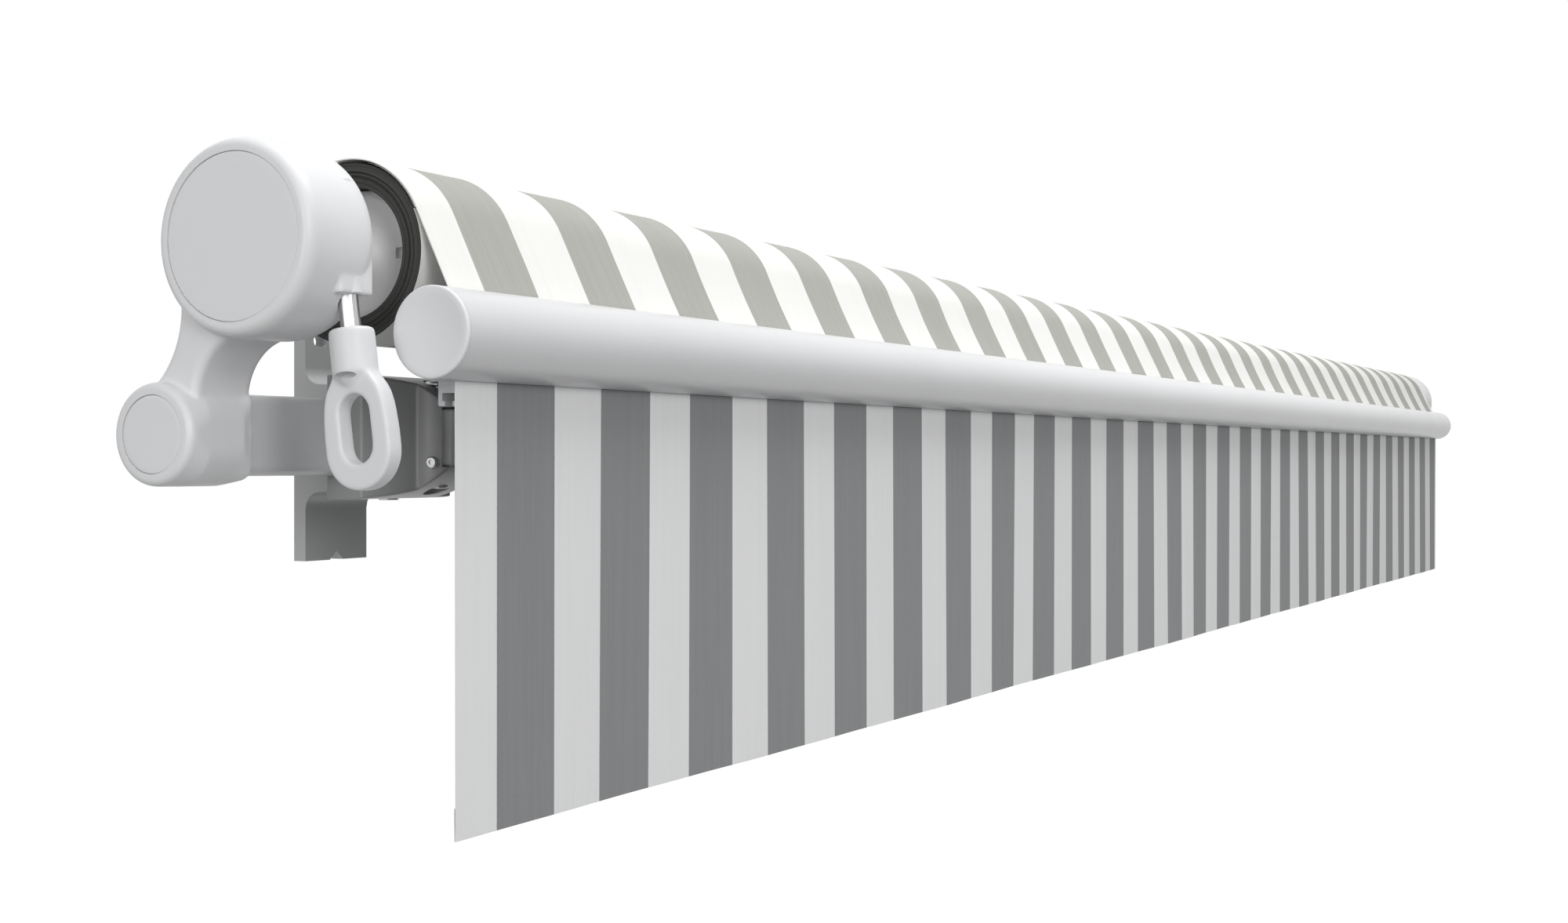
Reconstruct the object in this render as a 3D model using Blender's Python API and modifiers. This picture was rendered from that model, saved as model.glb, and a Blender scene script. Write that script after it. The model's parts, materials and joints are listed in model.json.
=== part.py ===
"""Open folding-arm patio awning, drawn fully in.

+X runs along the front bar to the viewer's right, -Y points away from the wall and +Z up.
The origin lies on the wall plane, at the middle of the awning and the height of the support tube.
"""

import math

import bmesh
import bpy
from mathutils import Matrix, Vector

# Clearances
GAP = 0.0003
RUNNING_GAP = 0.0004
END_PLAY = 0.0006

# Cloth and its roller
CLOTH_WIDTH = 3.478
CLOTH_THICKNESS = 0.0012
VALANCE_DROP = 0.279
VALANCE_HEM = 0.022
ROLL_RADIUS = 0.059
ROLLER_RADIUS = 0.041
ROLLER_WALL = 0.0015
ROLLER_INSET = 0.019
ROLLER_FORWARD = 0.062
ROLLER_RISE = 0.114
PLUG_FLANGE = 0.004
PLUG_DEPTH = 0.045
PLUG_NOTCH = 0.007
DRIVE_SQUARE = 0.012
IDLER_RADIUS = 0.008

# Support tube
TUBE_SIDE = 0.050
TUBE_CORNER = 0.006
TUBE_WALL = 0.003
TUBE_TO_WALL = 0.056

# End carriers
CARRIER_GAP = 0.0416
CARRIER_DEPTH = 0.062
CARRIER_WALL = 0.004
HEAD_RADIUS = 0.0585
HEAD_ROUNDING = 0.006
HEAD_ROUNDING_DEPTH = 0.009
HEAD_TAPER = 0.008
HEAD_TAPER_DEPTH = 0.016
HEAD_COVER_RADIUS = 0.0495
HEAD_FLOOR = 0.0055
BOSS_RADIUS = 0.031
BOSS_CORNER = 0.024
BOSS_COVER_RADIUS = 0.0235
COVER_RECESS = 0.0028
COVER_THICKNESS = 0.0022
NECK_INSET = 0.009
NECK_BACK_CURVE = 0.060
NECK_FRONT_CURVE = 0.0365
NECK_ROUNDING = 0.005
SLEEVE_LENGTH = 0.056
SLEEVE_CHAMFER = 0.011
SLEEVE_MOUTH_WALL = 0.0025
SLEEVE_ROUND_DEPTH = 0.026
SOCKET_BOTTOM = 0.018
BEARING_RADIUS = 0.014
BEARING_LENGTH = 0.020
INNER_COVER_THICKNESS = 0.0032

# Worm winch
WHEEL_TEETH = 22
WORM_DISTANCE = 0.0424
WORM_PITCH_RADIUS = 0.0085
WORM_HALF_LENGTH = 0.0130
WORM_TILT = math.radians(7.5)
WORM_INSET = 0.0156
TOOTH_SHARE = 0.40
WHEEL_WIDTH = 0.011
HUB_RADIUS = 0.0145
SHAFT_RADIUS = 0.006
SHAFT_BOSS_RADIUS = 0.009
SHAFT_BOSS_START = 0.0225
SHAFT_BOSS_END = 0.038
UPPER_BOSS_END = 0.0295
WORM_POCKET_PLAY = 0.0012
HOUSING_FRONT = 0.0545
HOUSING_DEPTH = 0.030
HOUSING_DROP = 0.032

# Crank eye, measured down the crank shaft from the worm
EYE_TOP = 0.058
EYE_BODY_LENGTH = 0.037
EYE_BODY_RADIUS = 0.0135
EYE_LENGTH = 0.0955
EYE_WIDTH = 0.047
EYE_THICKNESS = 0.0115
EYE_NECK = 0.027
EYE_LIMB = 0.0118
EYE_FOOT = 0.0150
SLOT_LENGTH = 0.042
SHAFT_IN_EYE = 0.020
EYE_PIN_RADIUS = 0.0022

# Front bar
BAR_RADIUS = 0.028
BAR_WALL = 0.0024
BAR_RISE = 0.061
BAR_SETBACK = 0.055
BAR_OVERHANG = 0.0216
CAP_THICKNESS = 0.003
CAP_SPIGOT = 0.012
KEDER_RADIUS = 0.003
KEDER_DEPTH = 0.0055
KEDER_SLIT = 0.003
KEDER_WALL = 0.0022
CLOTH_GROOVE_ANGLE = math.radians(67.0)
VALANCE_GROOVE_ANGLE = math.radians(-90.0)
RAIL_OFFSET = 0.014
RAIL_WIDTH = 0.016
RAIL_DROP = 0.015
RAIL_SLOT = 0.006
RAIL_WALL = 0.003
RAIL_SETBACK = 0.034

# Folding arms
SHOULDER_FROM_END = 0.099
ARM_LENGTH = 1.300
ARM_THICKNESS = 0.028
ARM_GAP = 0.005
ARM_CORNER = 0.009
ARM_WALL = 0.0025
UPPER_ARM_HEIGHT = 0.056
FOREARM_HEIGHT = 0.046
SPIGOT_LENGTH = 0.040
SHOULDER_END_LENGTH = 0.058
FRONT_END_LENGTH = 0.052
FORK_LENGTH = 0.082
ELBOW_END_LENGTH = 0.066
ELBOW_CRANK = 0.030
PIN_RADIUS = 0.006
PIN_HEAD = 0.009
PIN_HEAD_HEIGHT = 0.003
TONGUE_RADIUS = 0.0165
TONGUE_HEIGHT = 0.038
ELBOW_TONGUE_RADIUS = 0.0155
ELBOW_TONGUE_HEIGHT = 0.021
FRONT_TONGUE_RADIUS = 0.0108
FRONT_TONGUE_HEIGHT = 0.018
POCKET_PLAY = 0.0025
POCKET_HEIGHT_PLAY = 0.0006

# Shoulder castings
SHOULDER_WEB = 0.0117
SHOULDER_BARREL = 0.0225
SHOULDER_HEIGHT = 0.082
SHOULDER_OUTWARD = 0.056
SHOULDER_INWARD = 0.038
SHOULDER_LIP = 0.017
SHOULDER_HOOK = 0.002
SHOULDER_LIP_LENGTH = 0.040
NOSE_HEIGHT = 0.024
NOSE_LENGTH = 0.040
PIN_SEAT = 0.007

# Wall brackets
BRACKET_WIDTH = 0.065
PLATE_THICKNESS = 0.010
PLATE_ABOVE = 0.086
PLATE_BELOW = 0.0845
JAW_THICKNESS = 0.0115
JAW_SHORTFALL = 0.003
JAW_ROUNDING = 0.012
NOTCH_WIDTH = 0.016
NOTCH_HEIGHT = 0.006
BOLT_RADIUS = 0.004
BOLT_HEAD_RADIUS = 0.0075
BOLT_HEAD_HEIGHT = 0.0055
BOLT_SLOT_LENGTH = 0.014
BOLT_SPACING = 0.034

# Front arm brackets
FRONT_BARREL = 0.0155
FRONT_BRACKET_WIDTH = 0.052
FRONT_LUG = 0.009

# Places worked out from the sizes above
HALF_CLOTH = CLOTH_WIDTH / 2
TUBE_Y = -TUBE_TO_WALL
TUBE_FRONT = TUBE_Y - TUBE_SIDE / 2
ROLLER_Y = TUBE_Y - ROLLER_FORWARD
ROLLER_Z = ROLLER_RISE
CARRIER_INNER = HALF_CLOTH + CARRIER_GAP
CARRIER_FACE = CARRIER_INNER + CARRIER_DEPTH
TUBE_END = CARRIER_FACE - SOCKET_BOTTOM - GAP
SHOULDER_X = HALF_CLOTH - SHOULDER_FROM_END
SHOULDER_Y = TUBE_FRONT - GAP - SHOULDER_WEB - TONGUE_RADIUS - POCKET_PLAY
ARM_SPACING = ARM_THICKNESS + ARM_GAP
ELBOW_X = SHOULDER_X - math.sqrt(ARM_LENGTH**2 - (ARM_SPACING / 2) ** 2)
ELBOW_Y = SHOULDER_Y - ARM_SPACING / 2
FOREARM_Y = SHOULDER_Y - ARM_SPACING
UPPER_START = SHOULDER_X - SHOULDER_END_LENGTH
UPPER_END = ELBOW_X + FORK_LENGTH
FOREARM_START = SHOULDER_X - FRONT_END_LENGTH
FOREARM_END = ELBOW_X + ELBOW_END_LENGTH
BAR_Y = FOREARM_Y - BAR_SETBACK
BAR_Z = BAR_RISE
BAR_END = HALF_CLOTH + BAR_OVERHANG
RAIL_BOTTOM = BAR_Z - BAR_RADIUS - RAIL_DROP
MOUTH_RADIUS = HEAD_RADIUS - HEAD_TAPER - CARRIER_WALL
WORM_X = CARRIER_INNER + WORM_INSET
WORM_DOWN = Vector((0.0, -math.sin(WORM_TILT), -math.cos(WORM_TILT)))
WORM_TO_WHEEL = Vector((0.0, math.cos(WORM_TILT), -math.sin(WORM_TILT)))
WHEEL_PITCH_RADIUS = WORM_DISTANCE - WORM_PITCH_RADIUS
TOOTH_MODULE = 2 * WHEEL_PITCH_RADIUS / WHEEL_TEETH
WORM_LEAD = math.pi * TOOTH_MODULE

SIDES = {"left": -1, "right": 1}


# Scene, materials and modelling helpers


def clear_scene():
    for item in list(bpy.data.objects):
        bpy.data.objects.remove(item, do_unlink=True)


def new_collection(name):
    collection = bpy.data.collections.new(name)
    bpy.context.scene.collection.children.link(collection)
    return collection


def make_material(name, color, roughness, metallic=0.0):
    material = bpy.data.materials.new(name)
    material.use_nodes = True
    shader = material.node_tree.nodes["Principled BSDF"]
    shader.inputs["Base Color"].default_value = (*color, 1.0)
    shader.inputs["Roughness"].default_value = roughness
    shader.inputs["Metallic"].default_value = metallic
    material.diffuse_color = (*color, 1.0)
    return material


clear_scene()
PARTS = new_collection("folding_arm_awning")
CUTTERS = new_collection("awning_cutters")
WHITE_CAST = make_material("white_cast", (0.80, 0.81, 0.82), 0.45)
WHITE_BAR = make_material("white_bar", (0.84, 0.85, 0.86), 0.35)
WHITE_PLASTIC = make_material("white_plastic", (0.82, 0.83, 0.84), 0.50)
TUBE_PAINT = make_material("tube_paint", (0.62, 0.63, 0.64), 0.45)
GALVANISED = make_material("galvanised", (0.55, 0.56, 0.57), 0.50, 0.9)
STEEL = make_material("steel", (0.50, 0.50, 0.51), 0.35, 1.0)
BRONZE = make_material("bronze", (0.55, 0.40, 0.22), 0.40, 1.0)
GREY_PLASTIC = make_material("grey_plastic", (0.70, 0.71, 0.72), 0.55)
CLOTH = make_material("cloth", (0.78, 0.78, 0.75), 0.90)


def place_object(name, mesh, material, collection=None):
    item = bpy.data.objects.new(name, mesh)
    (collection or PARTS).objects.link(item)
    if material:
        mesh.materials.append(material)
    return item


def as_cutter(item):
    """Turns a finished object into a hidden helper for a Boolean."""
    for collection in list(item.users_collection):
        collection.objects.unlink(item)
    CUTTERS.objects.link(item)
    item.hide_render = True
    item.display_type = "WIRE"
    return item


def finish_mesh(name, bm, material):
    bmesh.ops.recalc_face_normals(bm, faces=bm.faces)
    mesh = bpy.data.meshes.new(name)
    bm.to_mesh(mesh)
    bm.free()
    mesh.shade_smooth()
    mesh.set_sharp_from_angle(angle=math.radians(35))
    return place_object(name, mesh, material)


def facing(axis):
    """Turns a flat outline's own u, v and height to the world, for the axis that it faces."""
    columns = {
        "X": ((0, 1, 0), (0, 0, 1), (1, 0, 0)),
        "Y": ((1, 0, 0), (0, 0, 1), (0, 1, 0)),
        "Z": ((1, 0, 0), (0, 1, 0), (0, 0, 1)),
    }
    return Matrix(columns[axis]).transposed().to_4x4()


def prism(name, outline, axis, start, end, material=None):
    """A closed flat outline as a filled 2D curve, extruded between two heights along an axis."""
    curve = bpy.data.curves.new(f"{name}_outline", "CURVE")
    curve.dimensions = "2D"
    curve.fill_mode = "BOTH"
    curve.extrude = abs(end - start) / 2
    spline = curve.splines.new("POLY")
    spline.points.add(len(outline) - 1)
    for point, (u, v) in zip(spline.points, outline):
        point.co = (u, v, 0.0, 1.0)
    spline.use_cyclic_u = True
    guide = bpy.data.objects.new(f"{name}_outline", curve)
    bpy.context.scene.collection.objects.link(guide)
    filled = bpy.data.meshes.new_from_object(guide)
    bpy.data.objects.remove(guide, do_unlink=True)
    bm = bmesh.new()
    bm.from_mesh(filled)
    bmesh.ops.remove_doubles(bm, verts=bm.verts, dist=0.00001)
    bmesh.ops.translate(bm, vec=(0.0, 0.0, (start + end) / 2), verts=bm.verts)
    bmesh.ops.transform(bm, matrix=facing(axis), verts=bm.verts)
    return finish_mesh(name, bm, material)


def loft(name, rings, material=None):
    """Skins closed rings of equally many points, in order, and caps both ends."""
    bm = bmesh.new()
    loops = [[bm.verts.new(point) for point in ring] for ring in rings]
    count = len(loops[0])
    for low, high in zip(loops, loops[1:]):
        for i in range(count):
            j = (i + 1) % count
            bm.faces.new((low[i], low[j], high[j], high[i]))
    bm.faces.new(loops[0])
    bm.faces.new(loops[-1])
    return finish_mesh(name, bm, material)


def walled_tube(name, outline, axis, low, high, wall, material):
    """An open tube of the outline, thickened inwards to a closed shell with open ends."""
    bm = bmesh.new()
    turn = facing(axis)
    rings = [[bm.verts.new(turn @ Vector((u, v, h))) for u, v in outline] for h in (low, high)]
    for i in range(len(outline)):
        j = (i + 1) % len(outline)
        bm.faces.new((rings[0][i], rings[0][j], rings[1][j], rings[1][i]))
    item = finish_mesh(name, bm, material)
    shell = item.modifiers.new("wall", "SOLIDIFY")
    shell.thickness = wall
    shell.offset = -1.0
    shell.use_even_offset = True
    return item


def turned(name, profile, centre, axis, material=None, steps=32, ring=False):
    """Turns a profile of (radius, height) pairs, given from the top down the outer side."""
    bm = bmesh.new()
    points = [bm.verts.new((radius, 0.0, height)) for radius, height in profile]
    for low, high in zip(points, points[1:]):
        bm.edges.new((low, high))
    if ring:
        bm.edges.new((points[-1], points[0]))
    mesh = bpy.data.meshes.new(name)
    bm.to_mesh(mesh)
    bm.free()
    item = place_object(name, mesh, material)
    screw = item.modifiers.new("turn", "SCREW")
    screw.steps = steps
    screw.render_steps = steps
    screw.use_merge_vertices = True
    screw.merge_threshold = 0.00002
    screw.use_smooth_shade = True
    item.location = centre
    item.rotation_euler = Vector(axis).to_track_quat("Z", "Y").to_euler()
    return item


def boolean(target, tool, operation):
    step = target.modifiers.new(tool.name, "BOOLEAN")
    step.operation = operation
    step.solver = "EXACT"
    step.object = as_cutter(tool)


def cut(target, *tools):
    for tool in tools:
        boolean(target, tool, "DIFFERENCE")


def join(target, *tools):
    for tool in tools:
        boolean(target, tool, "UNION")


def soften(item, width, segments=2, angle=50):
    edge = item.modifiers.new("soft_edges", "BEVEL")
    edge.width = width
    edge.segments = segments
    edge.limit_method = "ANGLE"
    edge.angle_limit = math.radians(angle)
    edge.use_clamp_overlap = True
    return item


def arc(centre, radius, start, end, steps):
    """Points on a circle from one angle to another, in degrees, both ends included."""
    points = []
    for i in range(steps + 1):
        angle = math.radians(start + (end - start) * i / steps)
        points.append((centre[0] + radius * math.cos(angle), centre[1] + radius * math.sin(angle)))
    return points


def rounded_rectangle(centre, width, height, corner, steps=3):
    points = []
    for quarter, (sign_u, sign_v) in enumerate(((1, 1), (-1, 1), (-1, -1), (1, -1))):
        middle = (
            centre[0] + sign_u * (width / 2 - corner),
            centre[1] + sign_v * (height / 2 - corner),
        )
        points += arc(middle, corner, 90 * quarter, 90 * quarter + 90, steps)
    unique = []
    for point in points:
        if not unique or math.dist(point, unique[-1]) > 1e-6:
            unique.append(point)
    if math.dist(unique[0], unique[-1]) < 1e-6:
        unique.pop()
    return unique


def circle(centre, radius, steps=24):
    return arc(centre, radius, 0, 360, steps)[:-1]


def mirrored(outline, side):
    """A plan outline drawn for the right end, turned over for the left one."""
    return [(side * u, v) for u, v in outline]


def cylinder(name, centre, axis, start, end, radius, material=None, steps=24):
    """A plain cylinder between two distances from the centre, along an axis."""
    bm = bmesh.new()
    bmesh.ops.create_cone(
        bm,
        cap_ends=True,
        segments=steps,
        radius1=radius,
        radius2=radius,
        depth=abs(end - start),
        matrix=Matrix.Translation((0.0, 0.0, (start + end) / 2)),
    )
    item = finish_mesh(name, bm, material)
    item.location = centre
    item.rotation_euler = Vector(axis).to_track_quat("Z", "Y").to_euler()
    return item


def angle_of(vector):
    return math.degrees(math.atan2(vector[1], vector[0]))


# Support tube


def make_support_tube():
    outline = rounded_rectangle((TUBE_Y, 0.0), TUBE_SIDE, TUBE_SIDE, TUBE_CORNER)
    walled_tube("support_tube", outline, "X", -TUBE_END, TUBE_END, TUBE_WALL, TUBE_PAINT)


# End carriers and their covers


def tangent_curve(first, first_radius, second, second_radius, curve, side, steps):
    """The arc that runs smoothly from one circle to another, on the given side of their line."""
    first, second = Vector(first), Vector(second)
    line = second - first
    reach_first = first_radius + curve
    reach_second = second_radius + curve
    along = (reach_first**2 - reach_second**2 + line.length_squared) / (2 * line.length)
    across = math.sqrt(reach_first**2 - along**2)
    forward = line.normalized()
    sideways = Vector((-forward.y, forward.x)) * side
    centre = first + forward * along + sideways * across
    start = angle_of(first - centre)
    turn = (angle_of(second - centre) - start + 180) % 360 - 180
    return arc(centre, curve, start, start + turn, steps)


def neck_outline(inset):
    """Side view of the neck between head and boss, drawn in by an even inset all round."""
    head = Vector((ROLLER_Y, ROLLER_Z))
    boss = Vector((TUBE_Y, 0.0))
    head_radius = HEAD_RADIUS - CARRIER_WALL / 2 - inset
    boss_radius = BOSS_RADIUS - CARRIER_WALL / 2 - inset
    back = tangent_curve(head, head_radius, boss, boss_radius, NECK_BACK_CURVE + inset, 1, 6)
    front = tangent_curve(head, head_radius, boss, boss_radius, NECK_FRONT_CURVE + inset, -1, 6)
    front.reverse()
    boss_start = angle_of(Vector(back[-1]) - boss)
    boss_turn = (angle_of(Vector(front[0]) - boss) - boss_start) % -360
    head_start = angle_of(Vector(front[-1]) - head)
    head_turn = (angle_of(Vector(back[0]) - head) - head_start) % -360
    around_boss = arc(boss, boss_radius, boss_start, boss_start + boss_turn, 5)[1:-1]
    around_head = arc(head, head_radius, head_start, head_start + head_turn, 10)[1:-1]
    return back + around_boss + front + around_head


def quarter_ellipse(centre, across, along, start, steps):
    """Points of a quarter of an ellipse from an angle in degrees, turning clockwise."""
    turns = (math.radians(start - 90 * i / steps) for i in range(steps + 1))
    return [(centre[0] + across * math.cos(t), centre[1] + along * math.sin(t)) for t in turns]


def make_neck(side_name):
    """The neck as a loft of parallel outlines, so that its edges are rounded at both faces."""
    side = SIDES[side_name]
    near = CARRIER_FACE - NECK_INSET
    far = CARRIER_INNER + NECK_INSET / 2
    round_over = NECK_ROUNDING
    stations = ((near, round_over), (near - round_over, 0.0), (far + round_over, 0.0), (far, round_over))
    rings = [[Vector((side * x, y, z)) for y, z in neck_outline(inset)] for x, inset in stations]
    return loft(f"{side_name}_neck", rings)


def head_profile():
    """The outer side of a head from its face inwards, as (radius, distance outwards)."""
    rim = HEAD_COVER_RADIUS + GAP
    face_corner = (HEAD_RADIUS - HEAD_ROUNDING, -HEAD_ROUNDING_DEPTH)
    inner_corner = (HEAD_RADIUS - HEAD_TAPER, HEAD_TAPER_DEPTH - CARRIER_DEPTH)
    return [
        (0.0, -COVER_RECESS),
        (rim, -COVER_RECESS),
        (rim, 0.0),
        *quarter_ellipse(face_corner, HEAD_ROUNDING, HEAD_ROUNDING_DEPTH, 90, 3),
        *quarter_ellipse(inner_corner, HEAD_TAPER, HEAD_TAPER_DEPTH, 0, 3),
        (0.0, -CARRIER_DEPTH),
    ]


def sleeve_rings(side):
    """The socket round the tube: round at the face, squarer inwards and chamfered at its end."""
    mouth = TUBE_SIDE / 2 + SLEEVE_MOUTH_WALL
    stations = (
        (0.0, BOSS_RADIUS - 0.004, BOSS_RADIUS - 0.004),
        (0.0015, BOSS_RADIUS - 0.0015, BOSS_RADIUS - 0.0015),
        (0.005, BOSS_RADIUS, BOSS_RADIUS - 0.0005),
        (SLEEVE_ROUND_DEPTH, BOSS_RADIUS, BOSS_CORNER),
        (SLEEVE_LENGTH - SLEEVE_CHAMFER, BOSS_RADIUS, BOSS_CORNER),
        (SLEEVE_LENGTH, mouth, TUBE_CORNER + SLEEVE_MOUTH_WALL),
    )
    rings = []
    for depth, half, corner in stations:
        x = side * (CARRIER_FACE - depth)
        outline = rounded_rectangle((TUBE_Y, 0.0), 2 * half, 2 * half, min(corner, half * 0.999), 4)
        rings.append([Vector((x, y, z)) for y, z in outline])
    return rings


def cavity_profile():
    """The space inside a head, with the bearing for the roller's end left standing in it."""
    floor = -(COVER_RECESS + HEAD_FLOOR)
    bore = IDLER_RADIUS + RUNNING_GAP
    tip = floor - BEARING_LENGTH
    inner = HEAD_RADIUS - CARRIER_WALL
    mouth = MOUTH_RADIUS
    return [
        (0.0, floor - 0.002),
        (bore, floor - 0.002),
        (bore, tip),
        (BEARING_RADIUS, tip),
        (BEARING_RADIUS, floor),
        (inner, floor),
        (inner, HEAD_TAPER_DEPTH - CARRIER_DEPTH),
        (mouth, HEAD_TAPER_DEPTH / 4 - CARRIER_DEPTH),
        (mouth, -CARRIER_DEPTH - 0.002),
        (0.0, -CARRIER_DEPTH - 0.002),
    ]


def worm_point(distance):
    """A point on the crank shaft's axis, at a distance down from the worm."""
    middle = Vector((-WORM_X, ROLLER_Y, ROLLER_Z)) - WORM_TO_WHEEL * WORM_DISTANCE
    return middle + WORM_DOWN * distance


def make_carrier(side_name):
    side = SIDES[side_name]
    outward = (side, 0.0, 0.0)
    face = Vector((side * CARRIER_FACE, ROLLER_Y, ROLLER_Z))
    carrier = turned(f"{side_name}_carrier", head_profile(), face, outward, WHITE_CAST, 28)
    join(carrier, make_neck(side_name), loft(f"{side_name}_sleeve", sleeve_rings(side)))
    if side_name == "left":
        join(carrier, make_worm_housing())
    cut(carrier, turned(f"{side_name}_cavity", cavity_profile(), face, outward, None, 24))
    hole = TUBE_SIDE + 2 * GAP
    socket_outline = rounded_rectangle((TUBE_Y, 0.0), hole, hole, TUBE_CORNER + GAP)
    deep = side * (CARRIER_FACE - SOCKET_BOTTOM)
    open_end = side * (CARRIER_FACE - SLEEVE_LENGTH - 0.005)
    cut(carrier, prism(f"{side_name}_socket", socket_outline, "X", deep, open_end))
    boss = Vector((side * CARRIER_FACE, TUBE_Y, 0.0))
    recess = cylinder(
        f"{side_name}_recess", boss, outward, -COVER_RECESS, 0.002, BOSS_COVER_RADIUS + GAP, None, 24
    )
    cut(carrier, recess)
    if side_name == "left":
        add_crank_bearings(carrier)


def make_worm_housing():
    """The squared lower front of the winch's head, whose flat underside lets the crank shaft out."""
    front = ROLLER_Y - HOUSING_FRONT
    back = ROLLER_Y - HOUSING_FRONT / 2
    bottom = ROLLER_Z - HOUSING_DROP
    outline = [(front, bottom), (back, bottom), (back, ROLLER_Z), (front, ROLLER_Z)]
    near = -(CARRIER_INNER + HOUSING_DEPTH)
    return soften(prism("worm_housing", outline, "X", near, -(CARRIER_INNER + 0.0012)), 0.004, 1)


def add_crank_bearings(carrier):
    """Two bosses inside the head that hold the crank shaft above and below its worm."""
    middle = worm_point(0.0)
    worm_tip = WORM_PITCH_RADIUS + 0.8 * TOOTH_MODULE
    pocket_radius = worm_tip + WORM_POCKET_PLAY
    reach = SHAFT_BOSS_START - 2 * GAP
    cut(carrier, cylinder("worm_pocket", middle, WORM_DOWN, -reach, reach, pocket_radius, None, 14))
    spans = {
        "upper_shaft_boss": (-UPPER_BOSS_END, -SHAFT_BOSS_START),
        "lower_shaft_boss": (SHAFT_BOSS_START, SHAFT_BOSS_END),
    }
    for name, (start, end) in spans.items():
        join(carrier, cylinder(name, middle, WORM_DOWN, start, end, SHAFT_BOSS_RADIUS, None, 14))
    bore = cylinder(
        "shaft_bore",
        middle,
        WORM_DOWN,
        0.002 - UPPER_BOSS_END,
        SHAFT_BOSS_END + 0.01,
        SHAFT_RADIUS + RUNNING_GAP,
        None,
        14,
    )
    cut(carrier, bore)


def make_outer_covers(side_name):
    side = SIDES[side_name]
    outward = (side, 0.0, 0.0)
    places = {
        "head_cover": (ROLLER_Y, ROLLER_Z, HEAD_COVER_RADIUS, 28),
        "tube_cover": (TUBE_Y, 0.0, BOSS_COVER_RADIUS, 24),
    }
    for name, (y, z, radius, steps) in places.items():
        profile = [
            (0.0, COVER_THICKNESS + 0.0006),
            (radius - 0.0012, COVER_THICKNESS),
            (radius, COVER_THICKNESS - 0.0009),
            (radius, 0.0),
            (0.0, 0.0),
        ]
        seat = Vector((side * (CARRIER_FACE - COVER_RECESS + GAP), y, z))
        turned(f"{side_name}_{name}", profile, seat, outward, WHITE_PLASTIC, steps)


def make_inner_cover(side_name, hole):
    """The plate that closes a head towards the roller, with a stiffening ring."""
    side = SIDES[side_name]
    radius = MOUTH_RADIUS - GAP
    thick = INNER_COVER_THICKNESS
    profile = [
        (hole, thick + 0.002),
        (hole + 0.004, thick + 0.002),
        (hole + 0.005, thick),
        (radius, thick),
        (radius, 0.0),
        (hole, 0.0),
    ]
    seat = Vector((side * (CARRIER_INNER + thick + 0.0005), ROLLER_Y, ROLLER_Z))
    name = "winch_cover" if side_name == "left" else "idler_cover"
    turned(name, profile, seat, (-side, 0.0, 0.0), GREY_PLASTIC, 24, ring=True)


# Worm winch and crank eye


def tooth_height(place):
    """0 at a root and 1 at a crest of a trapezoid tooth, for a place in pitches from its middle."""
    offset = abs((place + 0.5) % 1.0 - 0.5)
    crest = TOOTH_SHARE / 2 - 0.07
    foot = TOOTH_SHARE / 2 + 0.07
    return min(max((foot - offset) / (foot - crest), 0.0), 1.0)


def make_worm_shaft():
    """One shaft with a single-start worm: the rings' radius follows the thread round the axis."""
    steps = 12
    root = WORM_PITCH_RADIUS - 1.05 * TOOTH_MODULE
    depth = 1.85 * TOOTH_MODULE
    middle = worm_point(0.0)

    def ring(distance, radius_at):
        points = []
        for i in range(steps):
            angle = 2 * math.pi * i / steps
            out = WORM_TO_WHEEL * math.cos(angle) + WORM_DOWN.cross(WORM_TO_WHEEL) * math.sin(angle)
            points.append(middle + WORM_DOWN * distance + out * radius_at(angle))
        return points

    def threaded(distance):
        return lambda angle: root + depth * tooth_height(distance / WORM_LEAD - angle / (2 * math.pi))

    plain = SHAFT_RADIUS
    top = 0.002 - UPPER_BOSS_END + END_PLAY
    rings = [
        ring(top, lambda angle: plain),
        ring(-WORM_HALF_LENGTH - 0.002, lambda angle: plain),
        ring(-WORM_HALF_LENGTH - 0.0008, lambda angle: root),
    ]
    count = round(2 * WORM_HALF_LENGTH / (WORM_LEAD / steps))
    for k in range(count + 1):
        distance = -WORM_HALF_LENGTH + k * WORM_LEAD / steps
        rings.append(ring(distance, threaded(distance)))
    rings += [
        ring(WORM_HALF_LENGTH + 0.0016, lambda angle: root),
        ring(WORM_HALF_LENGTH + 0.003, lambda angle: plain),
        ring(EYE_TOP + SHAFT_IN_EYE - GAP, lambda angle: plain),
    ]
    loft("worm_shaft", rings, STEEL)


def wheel_outline(twist):
    """The toothed rim in the wheel's plane, with a gap facing the worm's crest."""
    outer = WHEEL_PITCH_RADIUS + 0.75 * TOOTH_MODULE
    inner = WHEEL_PITCH_RADIUS - 1.1 * TOOTH_MODULE
    start = math.atan2(-WORM_TO_WHEEL.z, -WORM_TO_WHEEL.y)
    pitch = 2 * math.pi / WHEEL_TEETH
    half_foot = pitch * (TOOTH_SHARE / 2 + 0.07)
    half_crest = pitch * (TOOTH_SHARE / 2 - 0.07)
    points = []
    for tooth in range(WHEEL_TEETH):
        middle = start + (tooth + 0.5) * pitch + twist
        for offset, radius in (
            (-half_foot, inner),
            (-half_crest, outer),
            (half_crest, outer),
            (half_foot, inner),
        ):
            angle = middle + offset
            points.append((ROLLER_Y + radius * math.cos(angle), ROLLER_Z + radius * math.sin(angle)))
    return points


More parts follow.
